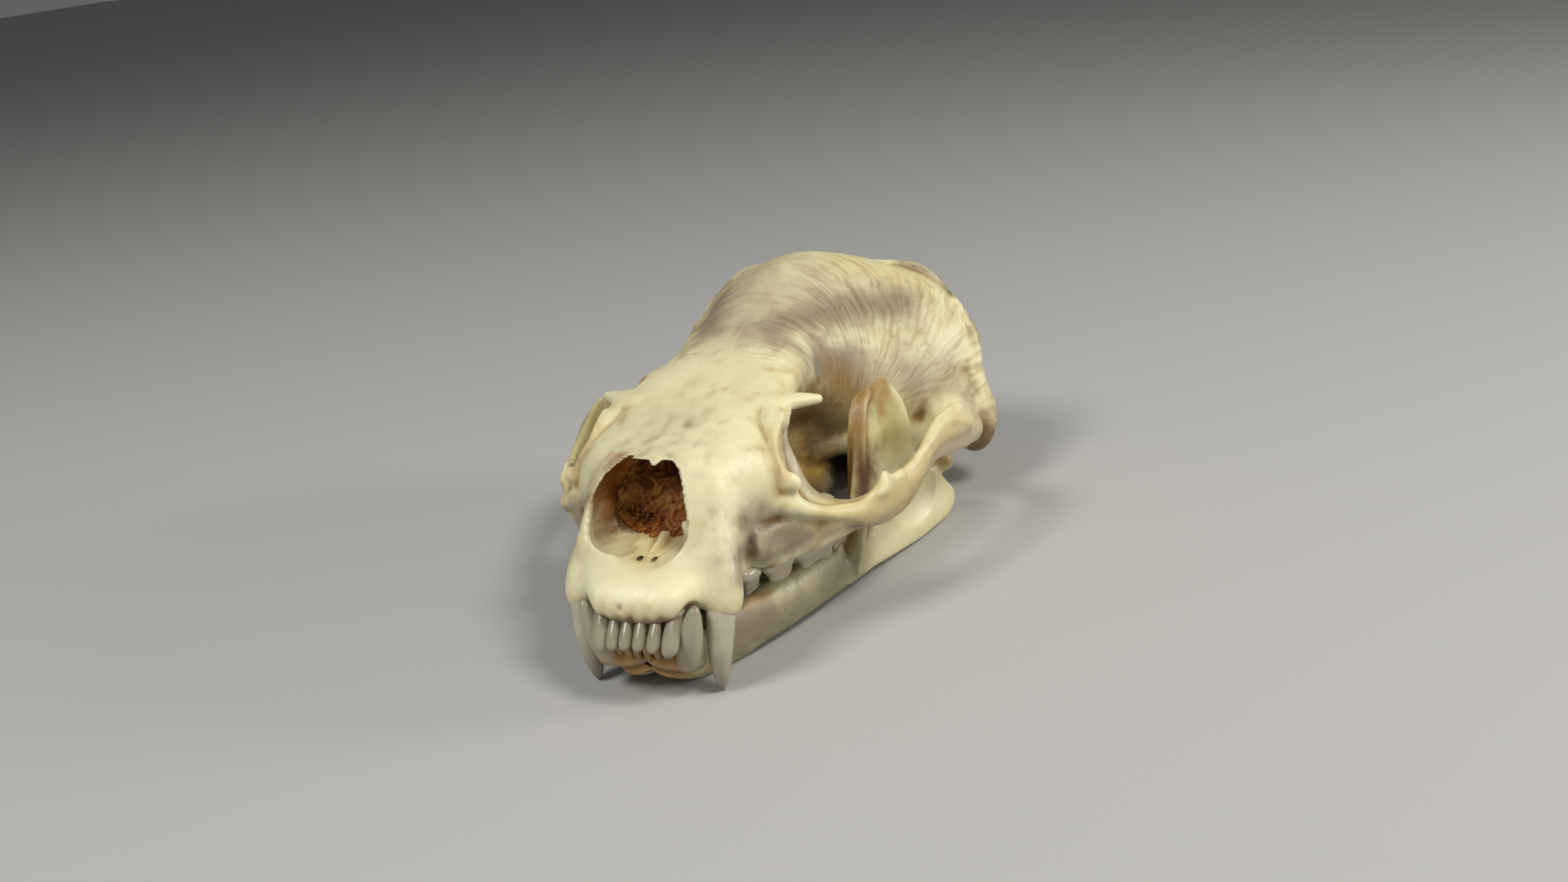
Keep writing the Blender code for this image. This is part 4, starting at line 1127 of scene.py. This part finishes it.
jawStainsAndPaintedShade = (
    # painted shade: the jaw's outer side darkened where it faces down and away from the lamps
    ("grey", ((8, 12, -9), (14, 24, -8.6), (19, 36, -7.6), (21, 42, -5)), 6.0, 1.0, bothSides),
    ("darkMauve", ((8, 8, -8), (10.4, 13, -8), (13, 18, -8)), 4.0, 0.85, bothSides),
    # painted shadow of the arch on the jaw
    ("olive", ((25.4, 52, 1), (25.6, 56, -1)), 3.4, 0.6, bothSides),
    ("paleCream", ((25, 52, -8), (26, 60, -7), (28.6, 72, -6)), 5.0, 0.5, bothSides),
    ("tan", ((0, 2, -9.8), (3.4, 2, -10.4), (7.4, 4, -11.4)), 3.6, 0.95, bothSides),
    ("ochre", ((0, 2, -7), (3.4, 2, -7.2), (7, 3.4, -8)), 2.2, 0.9, bothSides),
    ("orange", ((0, 1.8, -8.2), (3.4, 1.8, -8.6), (6.8, 3.2, -9.4)), 0.7, 0.8, bothSides),
    ("brown", ((0, 2.4, -9.2), (3.4, 2.4, -9.8), (7, 4, -10.4)), 0.9, 0.9, bothSides),
    ("orange", ((0.2, 3, -10.6), (3, 3.4, -11.6)), 0.9, 0.85, bothSides),
    ("tan", ((3.4, 2.4, -8.4), (6.4, 3.4, -9)), 0.8, 0.7, bothSides),
    ("orange", ((12, 17.6, -4), (14, 22, -3.6)), 1.1, 0.7, bothSides),
    ("olive", ((24.6, 58, 17), (25, 60, 10)), 5.0, 0.8, bothSides),
    ("ochre", ((23.6, 59.6, 23), (23, 54, 22), (22.6, 50, 19.6), (22.4, 47.4, 13), (22.4, 46, 6)), 3.4, 1.0, bothSides),
    ("brown", ((22.8, 57, 22.4), (22.6, 50.6, 18), (22.4, 47.8, 11)), 2.2, 0.5, bothSides),
    ("ochre", ((24.4, 57, 21), (24.6, 56, 17.6)), 1.8, 0.8, bothSides),
    ("brown", ((23.4, 47, 9), (23.6, 45.6, 4), (23, 45, 0)), 3.4, 1.0, bothSides),
    ("paleCream", ((25.4, 66.6, 14), (24.8, 62, 20)), 1.0, 0.8, bothSides),
    ("ochre", ((23, 55, 20), (23.4, 57, 21)), 2.0, 0.6, bothSides),
    ("brown", ((20.4, 50, 6), (21, 56, 0)), 4.0, 0.8, bothSides, inwards),
    ("olive", ((21, 42.6, 0), (21.4, 43, -4)), 2.0, 0.8, bothSides),
    ("ochre", ((31.8, 74.4, 2), (30, 74, 3)), 2.2, 0.9, bothSides),
)
upperToothStainsAndPaintedShade = (
    ("paleEnamel", ((12.3, 6, 0), (12, 6, -5)), 2.4, 0.6, bothSides),
    # painted shade on the outer faces of the cheek teeth under the arch
    ("mauve", ((16, 22, 0), (20, 30, 0), (21.4, 38, 0)), 3.4, 0.7, bothSides),
    ("brown", ((0, 1, 0), (4, 1.2, 0), (7.2, 2, 0)), 0.9, 0.6, bothSides),
)
lowerToothStains = (
    ("ochre", ((0.4, 1.4, -6.4), (4, 2, -6.4), (6, 3, -8)), 3.2, 0.9, bothSides),
)
turbinateStainsAndPaintedLight = (
    # painted light: orange where the lamps reach little into the nose
    ("orange", ((4, 15, 20), (6, 15, 16)), 3.0, 0.5, (1.0,)),
    ("orange", ((-4, 15, 20), (3, 15, 20)), 2.5, 0.6, (1.0,)),
    ("orange", ((-10, 16, 17), (-10, 17, 13)), 3.4, 0.95, (1.0,)),
    ("tan", ((-6, 17, 15), (-1, 18, 13), (2, 18, 12)), 1.8, 0.4, (1.0,)),
    # painted shade in the dark pocket low in the scrolls
    ("darkRust", ((-8, 16, 12), (-7, 17, 10.6), (-4, 17.6, 10)), 1.6, 0.6, (1.0,)),
)
craniumStrokes = (
    # temporal ridge, band beside the nose and its outer crest
    (((13, 42, 27.5), (14.2, 48, 28.4), (14.6, 54, 29.4), (13, 62, 31.6)), 1.2, 0.6, bothSides),
    (((10.4, 55, 32), (12, 54.5, 29), (12.6, 52.6, 25)), 1.2, 0.5, bothSides),
    (((8, 13.6, 18), (8.8, 11.4, 13.4), (8.6, 9.6, 10), (7, 7.8, 7.6)), 1.6, -0.6, (1.0,)),
    (((10, 16.1, 17.9), (12, 13.3, 14.8), (12.2, 10, 11.8), (12.2, 8.4, 8)), 1.5, 0.4, bothSides),
    # cheek
    (((16.8, 18.4, 8), (19.6, 21.6, 7.2), (22.6, 25, 6.8)), 2.2, -0.9, bothSides),
    (((17, 19.4, 2.6), (20.6, 24, 4.2), (24, 28, 6.4)), 0.9, 0.5, bothSides),
    # two edges of the rim of the orbit
    (((16.2, 29.4, 24.6), (16.6, 25.2, 22.4), (17.6, 22.6, 19.6), (19.4, 21.4, 15.4)), 0.8, 0.7, bothSides),
    (((17.6, 28, 22.6), (18.4, 25.4, 19.4), (19.6, 24, 15.8), (21, 25, 12.4)), 1.0, -0.7, bothSides),
    (((21.6, 23, 10.6), (25.4, 28, 9.2), (29, 34, 9.4), (32, 42, 11)), 0.9, 0.4, bothSides),
    # faces of the arch
    (((33, 44, 11.6), (34.6, 50, 13.2), (36.6, 58, 15.4), (37.6, 66, 13)), 0.9, 0.4, bothSides),
    (((34.4, 50, 9.8), (36.4, 58, 11), (38, 66, 10.4)), 1.3, -0.5, bothSides),
    # sockets of the front teeth
    (((0, 0, 1.8), (0, -0.3, 0)), 0.45, -0.22, (1.0,)),
    (((1.3, 0, 2.2), (1.3, -0.3, 0.2)), 0.7, 0.12, bothSides),
    (((2.5, 0, 1.8), (2.5, -0.2, 0)), 0.45, -0.22, bothSides),
    (((3.8, 0.2, 2.4), (3.8, -0.1, 0.2)), 0.7, 0.15, bothSides),
    (((5.1, 0.2, 1.8), (5.1, 0, 0)), 0.45, -0.22, bothSides),
    (((6.6, 1.2, 3), (6.4, 0.6, 0.2)), 0.9, 0.2, bothSides),
    # back of the skull
    (((0, 109, 22), (0, 107.6, 28), (0, 105.6, 33)), 1.6, 0.8, (1.0,)),
    (((5, 108, 25), (11, 106.6, 26), (17, 105, 24)), 3.6, -0.8, bothSides),
    (((10, 108, 16), (17, 106, 14), (24, 103, 12)), 2.6, 0.5, bothSides),
    # pit over the front teeth and bump on the forehead
    (((-1.8, -0.7, 1.6), (-1.8, -0.7, 1.9)), 0.5, -0.35, (1.0,)),
    (((8.9, 16.1, 21.5), (8.9, 16.4, 21.6)), 0.9, 0.25, bothSides),
)
turbinateStrokes = ((((-7.4, 16, 12), (-6, 17, 10.8), (-3.6, 17.6, 10.4)), 1.9, -1.3, (1.0,)),)
jawStrokes = (
    (((0.2, 2.6, -8.4), (3, 2.4, -8.8), (6.4, 3.4, -9.4)), 0.6, 0.35, bothSides),
    (((0.2, 3, -9.8), (3, 3, -10.2), (6.6, 4.2, -10.8)), 0.7, -0.5, bothSides),
    (((0.2, 3.8, -11.2), (3, 4, -11.8), (6, 5.4, -12.6)), 0.7, 0.15, bothSides),
    (((22.4, 43, -8), (23, 43.4, -4), (23.6, 43.8, 1)), 0.7, 0.9, bothSides),
    (((21.2, 41.4, -5), (21.6, 41.8, 0)), 1.1, -0.7, bothSides),
)

boneLook = {
    "mottling": 0.3,
    "mottleColour": (0.78, 0.72, 0.60),
    "fibres": 0.75,
    "fibreColour": (0.62, 0.54, 0.42),
    # dirt and painted shade in the hollows
    "dirtAndShade": 0.95,
    "dirtAndShadeDepth": 0.28,
    "dirtAndShadeColour": (0.44, 0.28, 0.09),
    # wear on the bone's edges; a painted highlight where the looks below reuse it
    "wearAndHighlight": 0.25,
    "wearAndHighlightDepth": 0.5,
    "wearAndHighlightColour": (0.88, 0.82, 0.50),
    "roughLow": 0.36,
    "roughHigh": 0.56,
    "fibreRelief": 0.16,
    "poreRelief": 0.03,
    "mottleRelief": 0.04,
    "sheen": 0.5,
}

print("fusing the cranium")
cranium = buildCranium()
sculpt(cranium, craniumStrokes)
print("cranium", len(cranium.data.vertices), "vertices")
thinOut(cranium, shape["mostTriangles"])
paint(cranium, "cream", craniumStainsAndPaintedLight, smoothPaths=(archRows[4:], jugalPointRows))
print("fusing the jaws")
jaws = [buildDentary("jawLeft", 1.0), buildDentary("jawRight", -1.0)]
for jaw in jaws:
    sculpt(jaw, jawStrokes)
    paint(jaw, "jawCream", jawStainsAndPaintedShade)
    print(jaw.name, len(jaw.data.vertices), "vertices")

print("teeth")
upperCrowns = [tooth("tooth", row, side) for row in upperTeeth for side in bothSides]
upperCrowns += [crown("crown", row, side) for row in upperCheekTeeth for side in bothSides]
upperCrowns = join("upperTeeth", upperCrowns)
lowerCrowns = [tooth("tooth", row, side) for row in lowerTeeth for side in bothSides]
lowerCrowns += [crown("crown", row, side) for row in lowerCheekTeeth for side in bothSides]
lowerCrowns = join("lowerTeeth", lowerCrowns)
paint(upperCrowns, "enamel", upperToothStainsAndPaintedShade)
paint(lowerCrowns, "enamel", lowerToothStains)
print("turbinates")
turbinates = buildTurbinates()
sculpt(turbinates, turbinateStrokes)
paint(turbinates, "rust", turbinateStainsAndPaintedLight, patchy=3.0)

boneGrain = boneGrainGroup()
bone = boneMaterial("agedBone", boneLook)
jawBone = boneMaterial("jawBone", dict(boneLook, fibres=0.0, fibreRelief=0.0))
# the teeth's lighter convex edges are a painted highlight, and their darker hollows partly painted shade
enamel = boneMaterial("enamel", dict(
    boneLook, mottling=0.2, fibres=0.1, dirtAndShade=0.9, dirtAndShadeColour=(0.35, 0.18, 0.08), wearAndHighlight=0.35, wearAndHighlightColour=(0.68, 0.64, 0.50), roughLow=0.16, roughHigh=0.3, fibreRelief=0.02, poreRelief=0.0, mottleRelief=0.05
))
# the scrolls' tan ridges are a painted highlight, and their darker folds partly painted shade
scroll = boneMaterial("scrollBone", dict(
    boneLook, mottling=0.6, mottleColour=(0.4, 0.3, 0.2), fibres=0.0, dirtAndShade=0.6, wearAndHighlight=0.4, wearAndHighlightDepth=0.3, wearAndHighlightColour=palette["tan"], fibreRelief=0.0, sheen=0.15
))

rest = Matrix.Translation(Vector(restShift) * mm) @ Matrix.Rotation(math.radians(-restPitch), 4, "X")
skins = {"jawLeft": jawBone, "jawRight": jawBone, "upperTeeth": enamel, "lowerTeeth": enamel, "turbinates": scroll}
skullPieces = [cranium, *jaws, upperCrowns, lowerCrowns, turbinates]
for piece in skullPieces:
    piece.data.transform(rest)
    piece.data.materials.clear()
    piece.data.materials.append(skins.get(piece.name, bone))
    flatten(piece)
    smoothShade(piece)
    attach(piece, "root")
cranium.name = "cranium"
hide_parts("face", "braincase", "zygomatic_arch_left", "zygomatic_arch_right")
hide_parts("mandible_left")
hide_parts("mandible_right")

# floor, light and camera
studio = {
    "floorSize": 3.0,
    "floorColour": (0.40, 0.395, 0.385),
    "worldColour": (0.60, 0.60, 0.60),
    "worldStrength": 0.2,
}

bm = bmesh.new()
bmesh.ops.create_grid(bm, x_segments=1, y_segments=1, size=studio["floorSize"])
floor = newObject("floor", bm)
floorMaterial = bpy.data.materials.new("paleFloor")
floorMaterial.use_nodes = True
floorShader = floorMaterial.node_tree.nodes["Principled BSDF"]
floorShader.inputs["Base Color"].default_value = (*studio["floorColour"], 1.0)
floorShader.inputs["Roughness"].default_value = 0.85
floor.data.materials.append(floorMaterial)

world = bpy.data.worlds.new("studio") if bpy.context.scene.world is None else bpy.context.scene.world
bpy.context.scene.world = world
world.use_nodes = True
backdrop = world.node_tree.nodes["Background"]
backdrop.inputs["Color"].default_value = (*studio["worldColour"], 1.0)
backdrop.inputs["Strength"].default_value = studio["worldStrength"]

lamps = {  # place, size, watts, colour
    "key": ((-0.30, -0.45, 0.70), 0.3, 4.4, (1.0, 0.99, 0.95)),
    "rim": ((0.70, 0.25, 0.22), 0.25, 2.7, (1.0, 0.99, 0.94)),
    "top": ((0.38, -0.12, 0.55), 0.2, 2.5, (1.0, 0.98, 0.92)),
    "fill": ((0.3, -0.8, 0.25), 0.9, 0.6, (0.95, 0.97, 1.0)),
}
for name, (place, size, watts, colour) in lamps.items():
    lamp = bpy.data.lights.new(name, "AREA")
    lamp.shape = "DISK"
    lamp.size = size
    lamp.energy = watts
    lamp.color = colour
    holder = bpy.data.objects.new(name, lamp)
    holder.location = place
    aim = Vector((0, 0, 0.025)) - Vector(place)
    holder.rotation_euler = aim.to_track_quat("-Z", "Y").to_euler()
    bpy.context.scene.collection.objects.link(holder)

view = {
    "lens": 35.625,
    "right": (0.93090251, 0.3537896, -0.09084843),
    "down": (0.0213111, -0.30089937, -0.95341775),
    "ahead": (-0.36464552, 0.88560289, -0.28764763),
    "place": (110.431, -199.080, 94.448),
}
cameraData = bpy.data.cameras.new("camera")
cameraData.lens = view["lens"]
cameraData.sensor_width = 36.0
cameraData.clip_start = 0.01
camera = bpy.data.objects.new("camera", cameraData)
axes = Matrix((view["right"], -Vector(view["down"]), -Vector(view["ahead"]))).transposed().to_4x4()
camera.matrix_world = rest @ Matrix.Translation(Vector(view["place"]) * mm) @ axes
bpy.context.scene.collection.objects.link(camera)
bpy.context.scene.camera = camera
bpy.context.scene.view_settings.view_transform = "Standard"
